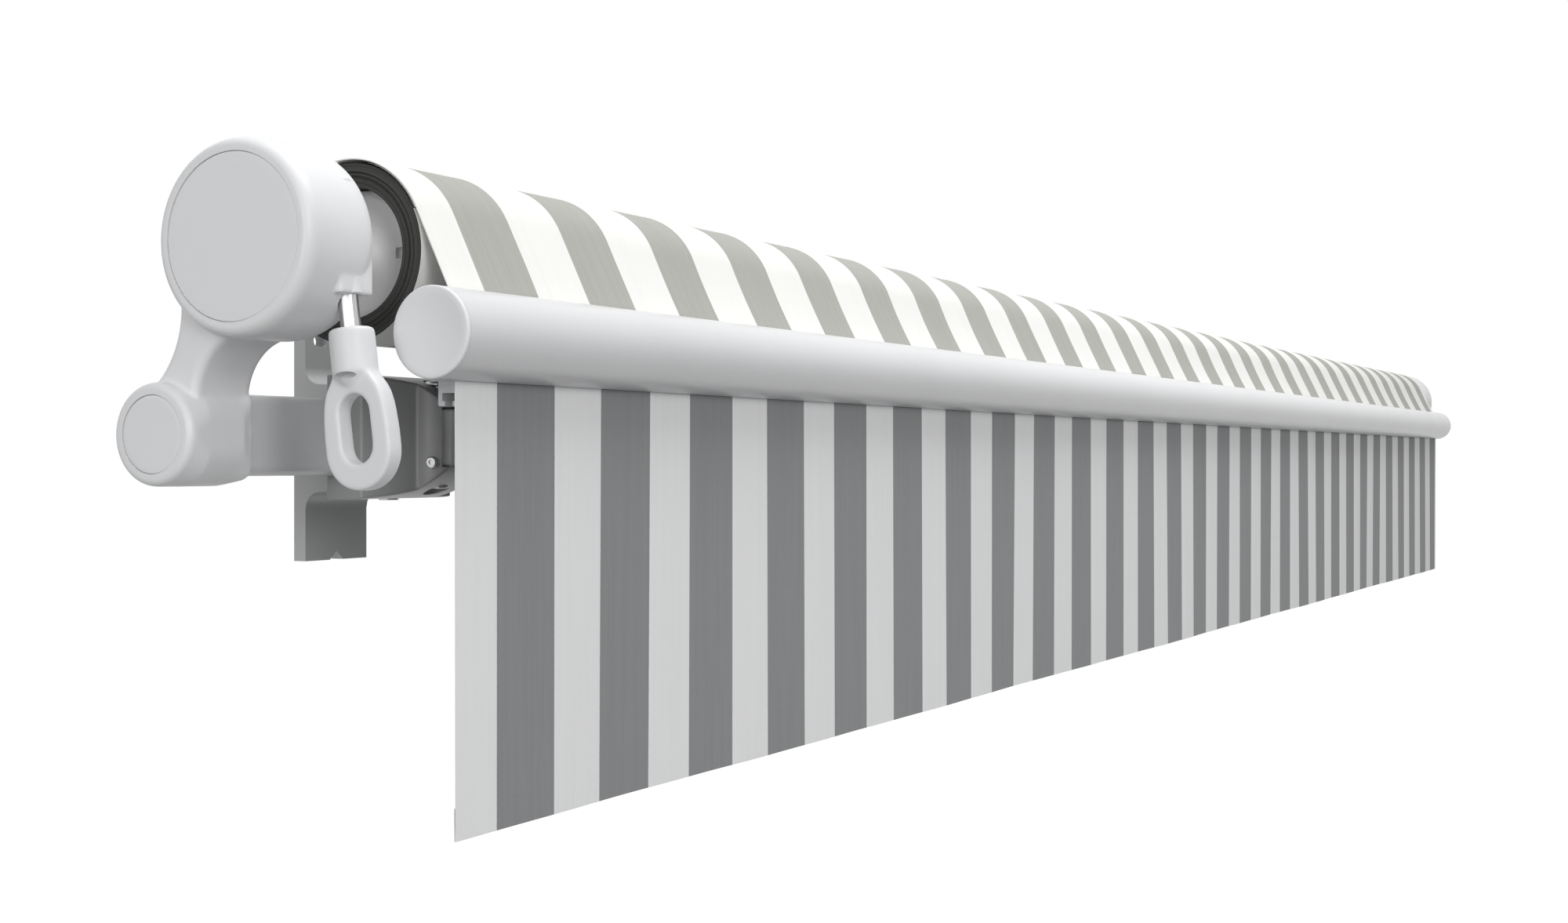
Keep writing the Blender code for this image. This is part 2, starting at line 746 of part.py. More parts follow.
def make_worm_wheel():
    """The bronze wheel on the roller's end: teeth twisted to the worm's lead, hub, axle and drive."""
    lead_slope = WORM_LEAD / (2 * math.pi * WORM_PITCH_RADIUS)
    rings = []
    for share in (-0.5, 0.5):
        offset = share * WHEEL_WIDTH
        twist = offset * lead_slope / WHEEL_PITCH_RADIUS
        rings.append([Vector((-WORM_X + offset, y, z)) for y, z in wheel_outline(twist)])
    wheel = loft("worm_wheel", rings, BRONZE)
    outward = (-1.0, 0.0, 0.0)
    centre = Vector((-WORM_X, ROLLER_Y, ROLLER_Z))
    bearing_tip = CARRIER_DEPTH - COVER_RECESS - HEAD_FLOOR - BEARING_LENGTH - WORM_INSET
    axle_tip = CARRIER_DEPTH - COVER_RECESS - HEAD_FLOOR - 0.002 - END_PLAY - WORM_INSET
    hub_end = -WORM_INSET - 0.004
    profile = [
        (0.0, axle_tip),
        (IDLER_RADIUS, axle_tip),
        (IDLER_RADIUS, bearing_tip - END_PLAY),
        (HUB_RADIUS, bearing_tip - END_PLAY),
        (HUB_RADIUS, hub_end),
        (0.0, hub_end),
    ]
    join(wheel, turned("wheel_hub", profile, centre, outward, None, 20))
    square = DRIVE_SQUARE + 2 * GAP
    outline = rounded_rectangle((ROLLER_Y, ROLLER_Z), square, square, 0.0008, 1)
    socket = prism("drive_socket", outline, "X", -WORM_X - 0.004, -WORM_X + WORM_INSET + 0.01)
    cut(wheel, socket)


def eye_point(width, distance, depth=0.0):
    """A point of the crank eye: across its face, down the shaft and along X."""
    forward = Vector((0.0, -math.cos(WORM_TILT), math.sin(WORM_TILT)))
    return worm_point(distance) + forward * width + Vector((depth, 0.0, 0.0))


def eye_plate(name, outline, thickness):
    rings = [[eye_point(w, d, side * thickness / 2) for w, d in outline] for side in (-1, 1)]
    return loft(name, rings)


def make_crank_eye():
    """A cast eye: a round shank on the shaft that widens into a long loop for the crank's hook."""
    end = EYE_TOP + EYE_LENGTH
    half = EYE_WIDTH / 2
    shank = EYE_BODY_RADIUS * 0.93
    neck_end = EYE_TOP + EYE_NECK
    body_end = EYE_TOP + EYE_BODY_LENGTH
    loop = [
        (-shank, neck_end - 0.006),
        (-shank, neck_end),
        (-half, body_end + 0.005),
        *[(u, end - half + v) for u, v in arc((0.0, 0.0), half, 180, 0, 10)],
        (half, body_end + 0.005),
        (shank, neck_end),
        (shank, neck_end - 0.006),
    ]
    plate = eye_plate("crank_eye_loop", loop, EYE_THICKNESS)
    soften(plate, 0.003, 1, 40)
    profile = [
        (0.0, body_end),
        (EYE_THICKNESS / 2, body_end - 0.001),
        (EYE_BODY_RADIUS, neck_end),
        (EYE_BODY_RADIUS, EYE_TOP + 0.0015),
        (EYE_BODY_RADIUS - 0.0015, EYE_TOP),
        (0.0, EYE_TOP),
    ]
    eye = turned("crank_eye", profile, worm_point(0.0), WORM_DOWN, WHITE_PLASTIC, 20)
    join(eye, plate)
    slot_half = half - EYE_LIMB
    slot_end = end - EYE_FOOT
    slot_top = slot_end - SLOT_LENGTH
    slot = arc((0.0, slot_end - slot_half), slot_half, 0, 180, 6)
    slot += arc((0.0, slot_top + slot_half), slot_half, 180, 360, 6)
    cut(eye, eye_plate("crank_eye_slot", slot, 3 * EYE_BODY_RADIUS))
    bore = cylinder(
        "eye_bore",
        worm_point(0.0),
        WORM_DOWN,
        EYE_TOP - 0.005,
        EYE_TOP + SHAFT_IN_EYE,
        SHAFT_RADIUS + GAP,
        None,
        20,
    )
    cut(eye, bore)


# Roller and its end plugs


def roll_outline():
    """The wound cloth: one spiral step outside, where its last turn ends and the free cloth begins."""
    top = ROLL_RADIUS - CLOTH_THICKNESS - GAP
    start = math.degrees(leaving_angle())
    points = []
    steps = 40
    for i in range(steps + 1):
        share = i / steps
        radius = top - CLOTH_THICKNESS * (1 - share)
        angle = math.radians(start + 360 * share)
        points.append((ROLLER_Y + radius * math.cos(angle), ROLLER_Z + radius * math.sin(angle)))
    return points


def make_roller():
    tube_end = HALF_CLOTH - ROLLER_INSET
    outline = circle((ROLLER_Y, ROLLER_Z), ROLLER_RADIUS, 28)
    walled_tube("roller_tube", outline, "X", -tube_end, tube_end, ROLLER_WALL, GALVANISED)
    roll = prism("cloth_roll", roll_outline(), "X", -HALF_CLOTH, HALF_CLOTH, CLOTH)
    core = circle((ROLLER_Y, ROLLER_Z), ROLLER_RADIUS + GAP, 28)
    cut(roll, prism("roll_core", core, "X", -HALF_CLOTH - 0.01, HALF_CLOTH + 0.01))
    for side_name, side in SIDES.items():
        make_plug(side_name, side, tube_end)


def make_plug(side_name, side, tube_end):
    """A flanged plug in the roller's end, with a pin to the idler or a square to the winch."""
    outward = (side, 0.0, 0.0)
    centre = Vector((side * tube_end, ROLLER_Y, ROLLER_Z))
    inner = ROLLER_RADIUS - ROLLER_WALL - GAP
    flange = PLUG_FLANGE
    reach = CARRIER_FACE - COVER_RECESS - HEAD_FLOOR - 0.002 - END_PLAY - tube_end
    neck = CARRIER_INNER - 0.006 - tube_end
    pin = IDLER_RADIUS if side_name == "right" else 0.0
    top = [(0.0, reach), (pin - 0.001, reach), (pin, reach - 0.001), (pin, neck), (0.012, neck)]
    if side_name == "left":
        top = [(0.0, neck), (0.012, neck)]
    profile = top + [
        (0.012, flange + 0.006),
        (0.020, flange),
        (ROLLER_RADIUS - 0.001, flange),
        (ROLLER_RADIUS - 0.0003, flange - 0.001),
        (ROLLER_RADIUS - 0.0003, GAP),
        (inner, GAP),
        (inner, -PLUG_DEPTH),
        (0.0, -PLUG_DEPTH),
    ]
    plug = turned(f"{side_name}_roller_plug", profile, centre, outward, GREY_PLASTIC, 20)
    if side_name == "left":
        square = rounded_rectangle((ROLLER_Y, ROLLER_Z), DRIVE_SQUARE, DRIVE_SQUARE, 0.0008, 1)
        low = -WORM_X - 0.004 + END_PLAY
        join(plug, prism("drive_square", square, "X", low, -tube_end - flange))
    notch_outline = rounded_rectangle(
        (ROLLER_Y - ROLLER_RADIUS + PLUG_NOTCH, ROLLER_Z), 2 * PLUG_NOTCH + 0.004, PLUG_NOTCH, 0.001, 1
    )
    ends = (side * (tube_end + 0.001), side * (tube_end + flange + 0.003))
    cut(plug, prism(f"{side_name}_plug_notch", notch_outline, "X", *ends))


# Front bar, its caps and the cloth


def groove_centre(angle):
    reach = BAR_RADIUS - KEDER_DEPTH
    return Vector((BAR_Y + reach * math.cos(angle), BAR_Z + reach * math.sin(angle)))


def hollow_outline():
    """The bar's inner hollow: a circle that bends in round the two keder channels."""
    lobe = KEDER_RADIUS + GAP + KEDER_WALL
    reach = BAR_RADIUS - KEDER_DEPTH
    points = []
    steps = 40
    for i in range(steps):
        angle = 2 * math.pi * i / steps
        radius = BAR_RADIUS - BAR_WALL
        for groove in (CLOTH_GROOVE_ANGLE, VALANCE_GROOVE_ANGLE):
            away = math.remainder(angle - groove, 2 * math.pi)
            inside = lobe**2 - (reach * math.sin(away)) ** 2
            if abs(away) < math.pi / 2 and inside > 0:
                radius = min(radius, reach * math.cos(away) - math.sqrt(inside))
        points.append((BAR_Y + radius * math.cos(angle), BAR_Z + radius * math.sin(angle)))
    return points


def keder_channel(name, angle):
    """A cutter for the round channel that holds a keder rod, with its slit to the outside."""
    centre = groove_centre(angle)
    radius = KEDER_RADIUS + GAP
    half = KEDER_SLIT / 2
    opening = math.degrees(math.asin(half / radius))
    facing = math.degrees(angle)
    outward = Vector((math.cos(angle), math.sin(angle)))
    across = Vector((-outward.y, outward.x))
    outline = arc(centre, radius, facing + opening, facing + 360 - opening, 12)
    for sign in (-1, 1):
        corner = centre + outward * (KEDER_DEPTH + 0.004) + across * half * sign
        outline.append(tuple(corner))
    return prism(name, outline, "X", -BAR_END - 0.01, BAR_END + 0.01)


def rail_outline():
    """The channel under the bar that the arms' front brackets hang in."""
    middle = BAR_Y + RAIL_OFFSET
    half = RAIL_WIDTH / 2
    mouth = RAIL_SLOT / 2
    inner = half - RAIL_WALL
    top = BAR_Z - math.sqrt(BAR_RADIUS**2 - (RAIL_OFFSET - half) ** 2) + 0.005
    bottom = RAIL_BOTTOM
    return [
        (middle - half, top),
        (middle - half, bottom),
        (middle - mouth, bottom),
        (middle - mouth, bottom + RAIL_WALL),
        (middle - inner, bottom + RAIL_WALL),
        (middle - inner, bottom + RAIL_WALL + 0.005),
        (middle + inner, bottom + RAIL_WALL + 0.005),
        (middle + inner, bottom + RAIL_WALL),
        (middle + mouth, bottom + RAIL_WALL),
        (middle + mouth, bottom),
        (middle + half, bottom),
        (middle + half, top),
    ]


def make_front_bar():
    bar = prism("front_bar", circle((BAR_Y, BAR_Z), BAR_RADIUS, 40), "X", -BAR_END, BAR_END, WHITE_BAR)
    rail_end = BAR_END - RAIL_SETBACK
    join(bar, prism("bar_rail", rail_outline(), "X", -rail_end, rail_end))
    cut(bar, prism("bar_hollow", hollow_outline(), "X", -BAR_END - 0.01, BAR_END + 0.01))
    cut(bar, keder_channel("cloth_channel", CLOTH_GROOVE_ANGLE))
    cut(bar, keder_channel("valance_channel", VALANCE_GROOVE_ANGLE))
    for name, angle in (("cloth_keder", CLOTH_GROOVE_ANGLE), ("valance_keder", VALANCE_GROOVE_ANGLE)):
        rod = circle(groove_centre(angle), KEDER_RADIUS, 12)
        prism(name, rod, "X", -HALF_CLOTH, HALF_CLOTH, GREY_PLASTIC)
    for side_name, side in SIDES.items():
        make_bar_cap(side_name, side)


def make_bar_cap(side_name, side):
    spigot = BAR_RADIUS - KEDER_DEPTH - KEDER_RADIUS - KEDER_WALL - 2 * GAP
    profile = [
        (0.0, CAP_THICKNESS),
        (BAR_RADIUS - 0.0015, CAP_THICKNESS),
        (BAR_RADIUS, CAP_THICKNESS - 0.0015),
        (BAR_RADIUS, GAP),
        (spigot, GAP),
        (spigot, -CAP_SPIGOT),
        (0.0, -CAP_SPIGOT),
    ]
    seat = Vector((side * BAR_END, BAR_Y, BAR_Z))
    turned(f"{side_name}_bar_cap", profile, seat, (side, 0.0, 0.0), WHITE_PLASTIC, 28)


def slit_mouth():
    """Where the free cloth enters the bar."""
    outward = Vector((math.cos(CLOTH_GROOVE_ANGLE), math.sin(CLOTH_GROOVE_ANGLE)))
    return Vector((BAR_Y, BAR_Z)) + outward * BAR_RADIUS


def leaving_angle():
    """The angle on the roll, in the YZ plane, at which the cloth leaves it towards the bar."""
    roller = Vector((ROLLER_Y, ROLLER_Z))
    away = slit_mouth() - roller
    return math.atan2(away.y, away.x) - math.acos((ROLL_RADIUS - CLOTH_THICKNESS) / away.length)


def strip(name, line, thickness, low, high, material):
    """A sheet of even thickness that follows a line in the YZ plane."""
    outline = []
    back = []
    for i, point in enumerate(line):
        before = Vector(line[max(i - 1, 0)])
        after = Vector(line[min(i + 1, len(line) - 1)])
        heading = (after - before).normalized()
        across = Vector((-heading.y, heading.x)) * thickness / 2
        outline.append(tuple(Vector(point) + across))
        back.append(tuple(Vector(point) - across))
    back.reverse()
    return prism(name, outline + back, "X", low, high, material)


def make_cloth():
    """The free cloth: over the front of the roll, down to the bar and into its slit."""
    radius = ROLL_RADIUS - CLOTH_THICKNESS / 2
    leave = math.degrees(leaving_angle())
    line = arc((ROLLER_Y, ROLLER_Z), radius, leave - 34, leave, 8)
    mouth = slit_mouth()
    inward = (groove_centre(CLOTH_GROOVE_ANGLE) - mouth).normalized()
    line.append(tuple(mouth - inward * 0.0012))
    line.append(tuple(mouth + inward * (KEDER_DEPTH - KEDER_RADIUS - 2 * GAP)))
    strip("cloth_panel", line, CLOTH_THICKNESS, -HALF_CLOTH, HALF_CLOTH, CLOTH)
    top = BAR_Z - BAR_RADIUS + KEDER_DEPTH - KEDER_RADIUS - 2 * GAP
    bottom = BAR_Z - BAR_RADIUS - VALANCE_DROP
    thin = CLOTH_THICKNESS / 2
    outline = [
        (BAR_Y - thin, top),
        (BAR_Y - thin, bottom + VALANCE_HEM + 0.002),
        (BAR_Y - 2 * thin, bottom + VALANCE_HEM),
        (BAR_Y - 2 * thin, bottom + 0.001),
        (BAR_Y, bottom),
        (BAR_Y + 2 * thin, bottom + 0.001),
        (BAR_Y + 2 * thin, bottom + VALANCE_HEM),
        (BAR_Y + thin, bottom + VALANCE_HEM + 0.002),
        (BAR_Y + thin, top),
    ]
    prism("valance", outline, "X", -HALF_CLOTH, HALF_CLOTH, CLOTH)


# Wall brackets


def make_wall_bracket(side_name):
    side = SIDES[side_name]
    outer = SHOULDER_X - GAP - 0.002 + SHOULDER_OUTWARD - SHOULDER_LIP_LENGTH
    inner = outer - BRACKET_WIDTH
    low, high = sorted((side * outer, side * inner))
    half = TUBE_SIDE / 2 + GAP
    jaw = half + JAW_THICKNESS
    tip = TUBE_FRONT + JAW_SHORTFALL
    back = TUBE_Y + half
    corner = JAW_ROUNDING
    plate = -PLATE_THICKNESS
    upper_fillet = arc((plate - corner, jaw + corner), corner, 0, -90, 4)
    lower_fillet = arc((plate - corner, -jaw - corner), corner, 90, 0, 4)
    outline = [
        (0.0, -PLATE_BELOW),
        (0.0, PLATE_ABOVE),
        (plate, PLATE_ABOVE),
        *upper_fillet,
        (tip, jaw - 0.002),
        (tip, half),
        (back, half),
        (back, -half),
        (tip, -half),
        (tip, -jaw + 0.002),
        *lower_fillet,
        (plate, -PLATE_BELOW),
    ]
    bracket = prism(f"{side_name}_wall_bracket", outline, "X", low, high, GALVANISED)
    middle = side * (outer + inner) / 2
    notch = [
        (middle - NOTCH_WIDTH / 2, -PLATE_BELOW - 0.001),
        (middle, -PLATE_BELOW + NOTCH_HEIGHT),
        (middle + NOTCH_WIDTH / 2, -PLATE_BELOW - 0.001),
    ]
    cut(bracket, prism(f"{side_name}_bracket_notch", notch, "Y", plate - 0.002, 0.002))
    slot_z = (PLATE_ABOVE + jaw + corner) / 2
    for name, share in (("outer_slot", 0.5), ("inner_slot", -0.5)):
        place = (middle + side * share * BOLT_SPACING, slot_z)
        slot = rounded_rectangle(place, BOLT_SLOT_LENGTH, 2 * BOLT_RADIUS, BOLT_RADIUS * 0.999, 4)
        cut(bracket, prism(f"{side_name}_{name}", slot, "Y", plate - 0.002, 0.002))
    clamp_y = TUBE_Y
    hole_low = -jaw - 0.01
    hole = circle((middle, clamp_y), BOLT_RADIUS + GAP, 16)
    cut(bracket, prism(f"{side_name}_clamp_hole", hole, "Z", hole_low, 0.0))
    make_bolt(
        f"{side_name}_clamp_bolt", Vector((middle, clamp_y, -jaw - GAP)), JAW_THICKNESS + GAP, (0, 0, 1)
    )


def make_bolt(name, seat, length, axis):
    """A hexagon bolt whose head's underside lies on the seat."""
    bolt = cylinder(name, seat, axis, -BOLT_HEAD_HEIGHT / 2, length, BOLT_RADIUS, STEEL, 16)
    head = cylinder(f"{name}_head", seat, axis, -BOLT_HEAD_HEIGHT, 0.0, BOLT_HEAD_RADIUS, None, 6)
    join(bolt, head)


# Arms


def pocket_outline(pivot, radius, start, end, reach=0.09):
    """The open space for a turning tongue: a disc and the sector that the arm swings through."""
    around = arc(pivot, radius, end, start + 360, 9)
    middle = (start + end) / 2
    far = [
        (pivot[0] + reach * math.cos(math.radians(a)), pivot[1] + reach * math.sin(math.radians(a)))
        for a in (start, middle - (middle - start) / 2, middle, middle + (end - middle) / 2, end)
    ]
    return around + far


def shoulder_outline():
    """Plan of a shoulder casting at the right end: lips over the tube, web and barrel."""
    outer = SHOULDER_X + SHOULDER_OUTWARD
    lip_inner = outer - SHOULDER_LIP_LENGTH
    inner = SHOULDER_X - SHOULDER_INWARD
    back = TUBE_FRONT + SHOULDER_HOOK
    lip = TUBE_FRONT + SHOULDER_LIP
    cheek = TUBE_FRONT - GAP - SHOULDER_WEB - POCKET_PLAY / 2
    barrel = arc((SHOULDER_X, SHOULDER_Y), SHOULDER_BARREL, 180, 360, 10)
    return [
        (inner, back),
        (inner, cheek),
        (SHOULDER_X - SHOULDER_BARREL, cheek),
        *barrel,
        (outer, cheek + POCKET_PLAY / 2),
        (outer, lip),
        (lip_inner, lip),
        (lip_inner, back),
    ]


def nose_outline():
    """Side view of a shoulder casting: square over the tube and rounded to the front."""
    half = SHOULDER_HEIGHT / 2
    front = SHOULDER_Y - SHOULDER_BARREL
    back = TUBE_FRONT + SHOULDER_LIP
    lower = quarter_ellipse((front + NOSE_LENGTH, NOSE_HEIGHT - half), NOSE_LENGTH, NOSE_HEIGHT, 270, 6)
    upper = [(y, -z) for y, z in reversed(lower)]
    margin = 0.002
    return [(back + margin, -half), *lower, *upper, (back + margin, half)]


def make_shoulder(side_name):
    side = SIDES[side_name]
    name = f"{side_name}_shoulder"
    half = SHOULDER_HEIGHT / 2
    outline = mirrored(shoulder_outline(), side)
    shoulder = prism(name, outline, "Z", -half - 0.002, half + 0.002, WHITE_CAST)
    ends = (side * (SHOULDER_X + SHOULDER_OUTWARD + 0.01), side * (SHOULDER_X - SHOULDER_INWARD - 0.01))
    boolean(shoulder, prism(f"{name}_nose", nose_outline(), "X", *ends), "INTERSECT")
    seat = half - PIN_SEAT
    pivot = (SHOULDER_X, SHOULDER_Y)
    pocket = TONGUE_HEIGHT / 2 + POCKET_HEIGHT_PLAY
    radius = TONGUE_RADIUS + POCKET_PLAY
    space = arc(pivot, radius, 316, 450, 8)
    space.append((SHOULDER_X - 2 * SHOULDER_INWARD, SHOULDER_Y + radius))
    space += arc(pivot, 3 * radius, 210, 316, 3)
    space = mirrored(space, side)
    cut(shoulder, prism(f"{name}_pocket", space, "Z", -pocket, pocket))
    hole = TUBE_SIDE + 2 * GAP
    tube_outline = rounded_rectangle((TUBE_Y, 0.0), hole, hole, TUBE_CORNER + GAP)
    outer = side * (SHOULDER_X + SHOULDER_OUTWARD + 0.01)
    inner = side * (SHOULDER_X - SHOULDER_INWARD - 0.01)
    cut(shoulder, prism(f"{name}_saddle", tube_outline, "X", outer, inner))
    bore = circle((side * pivot[0], pivot[1]), PIN_RADIUS + RUNNING_GAP, 12)
    cut(shoulder, prism(f"{name}_bore", bore, "Z", -half - 0.01, half + 0.01))
    spot = circle((side * pivot[0], pivot[1]), PIN_HEAD + 2 * RUNNING_GAP, 16)
    cut(shoulder, prism(f"{name}_upper_spot", spot, "Z", seat, half + 0.01))
    cut(shoulder, prism(f"{name}_lower_spot", spot, "Z", -half - 0.01, -seat))
    make_pin(f"{side_name}_shoulder_pin", side * pivot[0], pivot[1], -seat, seat)


def make_pin(name, x, y, low, high):
    """A headed pivot pin whose foot is flush with the lower lug."""
    profile = [
        (0.0, high + PIN_HEAD_HEIGHT + GAP),
        (PIN_HEAD - 0.001, high + PIN_HEAD_HEIGHT + GAP),
        (PIN_HEAD, high + PIN_HEAD_HEIGHT - 0.001),
        (PIN_HEAD, high + GAP),
        (PIN_RADIUS, high + GAP),
        (PIN_RADIUS, low),
        (0.0, low),
    ]
    turned(name, profile, Vector((x, y, 0.0)), (0, 0, 1), STEEL, 12)


def arm_ring(x, y, thickness, height, corner=ARM_CORNER):
    limited = min(corner, thickness / 2 * 0.95)
    return [Vector((x, u, v)) for u, v in rounded_rectangle((y, 0.0), thickness, height, limited, 2)]


def arm_body(name, x_values, y, height, tongue_height, side):
    """A casting from its tongue to its spigot: stepped rings along the arm, given tongue first."""
    start, full, shoulder, end = x_values
    play = 2 * (ARM_WALL + GAP)
    rings = [
        arm_ring(side * start, y, ARM_THICKNESS * 0.96, tongue_height + 0.001),
        arm_ring(side * full, y, ARM_THICKNESS, height),
        arm_ring(side * shoulder, y, ARM_THICKNESS, height),
        arm_ring(side * shoulder, y, ARM_THICKNESS - play, height - play, ARM_CORNER - ARM_WALL),
        arm_ring(side * end, y, ARM_THICKNESS - play, height - play, ARM_CORNER - ARM_WALL),
    ]
    return loft(name, rings)


def tongue_outline(pivot, radius, end_x, end_y, half_width):
    """A disc round the pivot that runs out into an arm towards smaller X."""
    lower = end_y - half_width
    upper = end_y + half_width
    return [
        *arc(pivot, radius, -90, 90, 8),
        (end_x, upper),
        (end_x, lower),
    ]


def inward_tongue(name, pivot, radius, end_x, end_y, half_width, height, side):
    outline = mirrored(tongue_outline(pivot, radius, end_x, end_y, half_width), side)
    return soften(prism(name, outline, "Z", -height / 2, height / 2), 0.0015, 1, 60)


def make_arm_tubes(side_name):
    side = SIDES[side_name]
    tubes = {
        "upper_arm": (UPPER_START, UPPER_END, SHOULDER_Y, UPPER_ARM_HEIGHT),
        "forearm": (FOREARM_START, FOREARM_END, FOREARM_Y, FOREARM_HEIGHT),
    }
    for name, (outer, inner, y, height) in tubes.items():
        low, high = sorted((side * (outer - GAP), side * (inner + GAP)))
        outline = rounded_rectangle((y, 0.0), ARM_THICKNESS, height, ARM_CORNER, 2)
        walled_tube(f"{side_name}_{name}", outline, "X", low, high, ARM_WALL, WHITE_BAR)


def make_outer_end(name, pivot, radius, tongue_height, start_x, height, side, material):
    """The casting at an arm's outer end: its tongue on the pivot and its spigot in the tube."""
    pin_x, pin_y = pivot
    end = inward_tongue(name, pivot, radius, start_x + 0.012, pin_y, ARM_THICKNESS * 0.44, tongue_height, side)
    end.data.materials.append(material)
    clear = radius + 0.006
    body = arm_body(
        f"{name}_body",
        (pin_x - clear, start_x + 0.014, start_x, start_x - SPIGOT_LENGTH),
        pin_y,
        height,
        tongue_height,
        side,
    )
    join(end, body)
    hole = circle((side * pin_x, pin_y), PIN_RADIUS + RUNNING_GAP, 12)
    cut(end, prism(f"{name}_bore", hole, "Z", -height, height))
    return end


def elbow_fork_outline():
    """Plan of the upper arm's elbow casting at the right end."""
    front = SHOULDER_Y - ARM_THICKNESS / 2
    back = SHOULDER_Y + ARM_THICKNESS / 2
    lug = ELBOW_TONGUE_RADIUS + 0.0035
    side_x = ELBOW_X - lug
    knee = arc((side_x + 0.012, back - 0.012), 0.012, 90, 180, 5)
    return [
        (UPPER_END, front),
        (UPPER_END, back),
        *knee,
        *arc((ELBOW_X, ELBOW_Y), lug, 180, 300, 7),
        (ELBOW_X + lug + 0.004, front),
    ]


def make_elbow_fork(side_name):
    side = SIDES[side_name]
    name = f"{side_name}_elbow_fork"
    half = UPPER_ARM_HEIGHT / 2 - 0.002
    fork = prism(name, mirrored(elbow_fork_outline(), side), "Z", -half, half, WHITE_CAST)
    soften(fork, 0.003, 1, 60)
    play = 2 * (ARM_WALL + GAP)
    rings = [
        arm_ring(
            side * x, SHOULDER_Y, ARM_THICKNESS - play, UPPER_ARM_HEIGHT - play, ARM_CORNER - ARM_WALL
        )
        for x in (UPPER_END - 0.010, UPPER_END + SPIGOT_LENGTH)
    ]
    join(fork, loft(f"{name}_spigot", rings))
    pocket = ELBOW_TONGUE_HEIGHT / 2 + POCKET_HEIGHT_PLAY
    pivot = (ELBOW_X, ELBOW_Y)
    radius = ELBOW_TONGUE_RADIUS + 0.0015
    space = mirrored(pocket_outline(pivot, radius, 137, 390, 0.06), side)
    cut(fork, prism(f"{name}_pocket", space, "Z", -pocket, pocket))
    hole = circle((side * ELBOW_X, ELBOW_Y), PIN_RADIUS + RUNNING_GAP, 12)
    cut(fork, prism(f"{name}_bore", hole, "Z", -half - 0.01, half + 0.01))
    make_pin(f"{side_name}_elbow_pin", side * ELBOW_X, ELBOW_Y, -half, half)


def make_forearm_elbow(side_name):
    """The forearm's casting at the elbow, cranked forward so that the arms fold side by side."""
    side = SIDES[side_name]
    name = f"{side_name}_forearm_elbow"
    half = ARM_THICKNESS * 0.44
    start = ELBOW_X + ELBOW_CRANK
    outline = [
        *arc((ELBOW_X, ELBOW_Y), ELBOW_TONGUE_RADIUS, 60, 290, 10),
        (start, FOREARM_Y - half),
        (start + 0.012, FOREARM_Y - half),
        (start + 0.012, FOREARM_Y + half),
        (start, FOREARM_Y + half),
    ]
    height = ELBOW_TONGUE_HEIGHT
    end = prism(name, mirrored(outline, side), "Z", -height / 2, height / 2, WHITE_CAST)
    body = arm_body(
        f"{name}_body",
        (start, start + 0.016, FOREARM_END, FOREARM_END + SPIGOT_LENGTH),
        FOREARM_Y,
        FOREARM_HEIGHT,
        height + 0.004,
        side,
    )
    join(end, body)
    hole = circle((side * ELBOW_X, ELBOW_Y), PIN_RADIUS + RUNNING_GAP, 12)
    cut(end, prism(f"{name}_bore", hole, "Z", -height, height))


def make_front_bracket(side_name):
    """The bracket that hangs in the bar's rail and forks round the forearm's front tongue."""
    side = SIDES[side_name]
    name = f"{side_name}_front_bracket"
    pivot = (SHOULDER_X, FOREARM_Y)
    rail = BAR_Y + RAIL_OFFSET
    front = rail - RAIL_WIDTH / 2
    half = FRONT_BRACKET_WIDTH / 2
    outline = [
        *arc(pivot, FRONT_BARREL, 180, 0, 8),
        (pivot[0] + FRONT_BARREL + 0.001, FOREARM_Y - FRONT_BARREL),
        (pivot[0] + half, rail + RAIL_WIDTH / 2),
        (pivot[0] + half, front),
        (pivot[0] - half, front),
        (pivot[0] - half, rail + RAIL_WIDTH / 2),
        (pivot[0] - FRONT_BARREL - 0.001, FOREARM_Y - FRONT_BARREL),
    ]
    top = RAIL_BOTTOM - GAP
    pocket = FRONT_TONGUE_HEIGHT / 2 + POCKET_HEIGHT_PLAY
    bottom = -pocket - FRONT_LUG
    bracket = prism(name, mirrored(outline, side), "Z", bottom, top, WHITE_CAST)
    soften(bracket, 0.002, 1, 60)
    space = mirrored(pocket_outline(pivot, FRONT_TONGUE_RADIUS + 0.002, 39, 247, 0.06), side)
    cut(bracket, prism(f"{name}_pocket", space, "Z", -pocket, pocket))
    hole = circle((side * pivot[0], pivot[1]), PIN_RADIUS + RUNNING_GAP, 12)
    cut(bracket, prism(f"{name}_bore", hole, "Z", bottom - 0.01, top + 0.01))
    make_pin(f"{side_name}_front_pin", side * pivot[0], pivot[1], bottom, top)


def make_arm(side_name):
    side = SIDES[side_name]
    make_shoulder(side_name)
    make_arm_tubes(side_name)
    shoulder = (SHOULDER_X, SHOULDER_Y)
    front = (SHOULDER_X, FOREARM_Y)
    make_outer_end(
        f"{side_name}_upper_arm_root",
        shoulder,
        TONGUE_RADIUS,
        TONGUE_HEIGHT,
        UPPER_START,
        UPPER_ARM_HEIGHT,
        side,
        WHITE_CAST,
    )
    make_outer_end(
        f"{side_name}_forearm_front",
        front,
        FRONT_TONGUE_RADIUS,
        FRONT_TONGUE_HEIGHT,
        FOREARM_START,
        FOREARM_HEIGHT,
        side,
        WHITE_CAST,
    )
    make_elbow_fork(side_name)
    make_forearm_elbow(side_name)
    make_front_bracket(side_name)


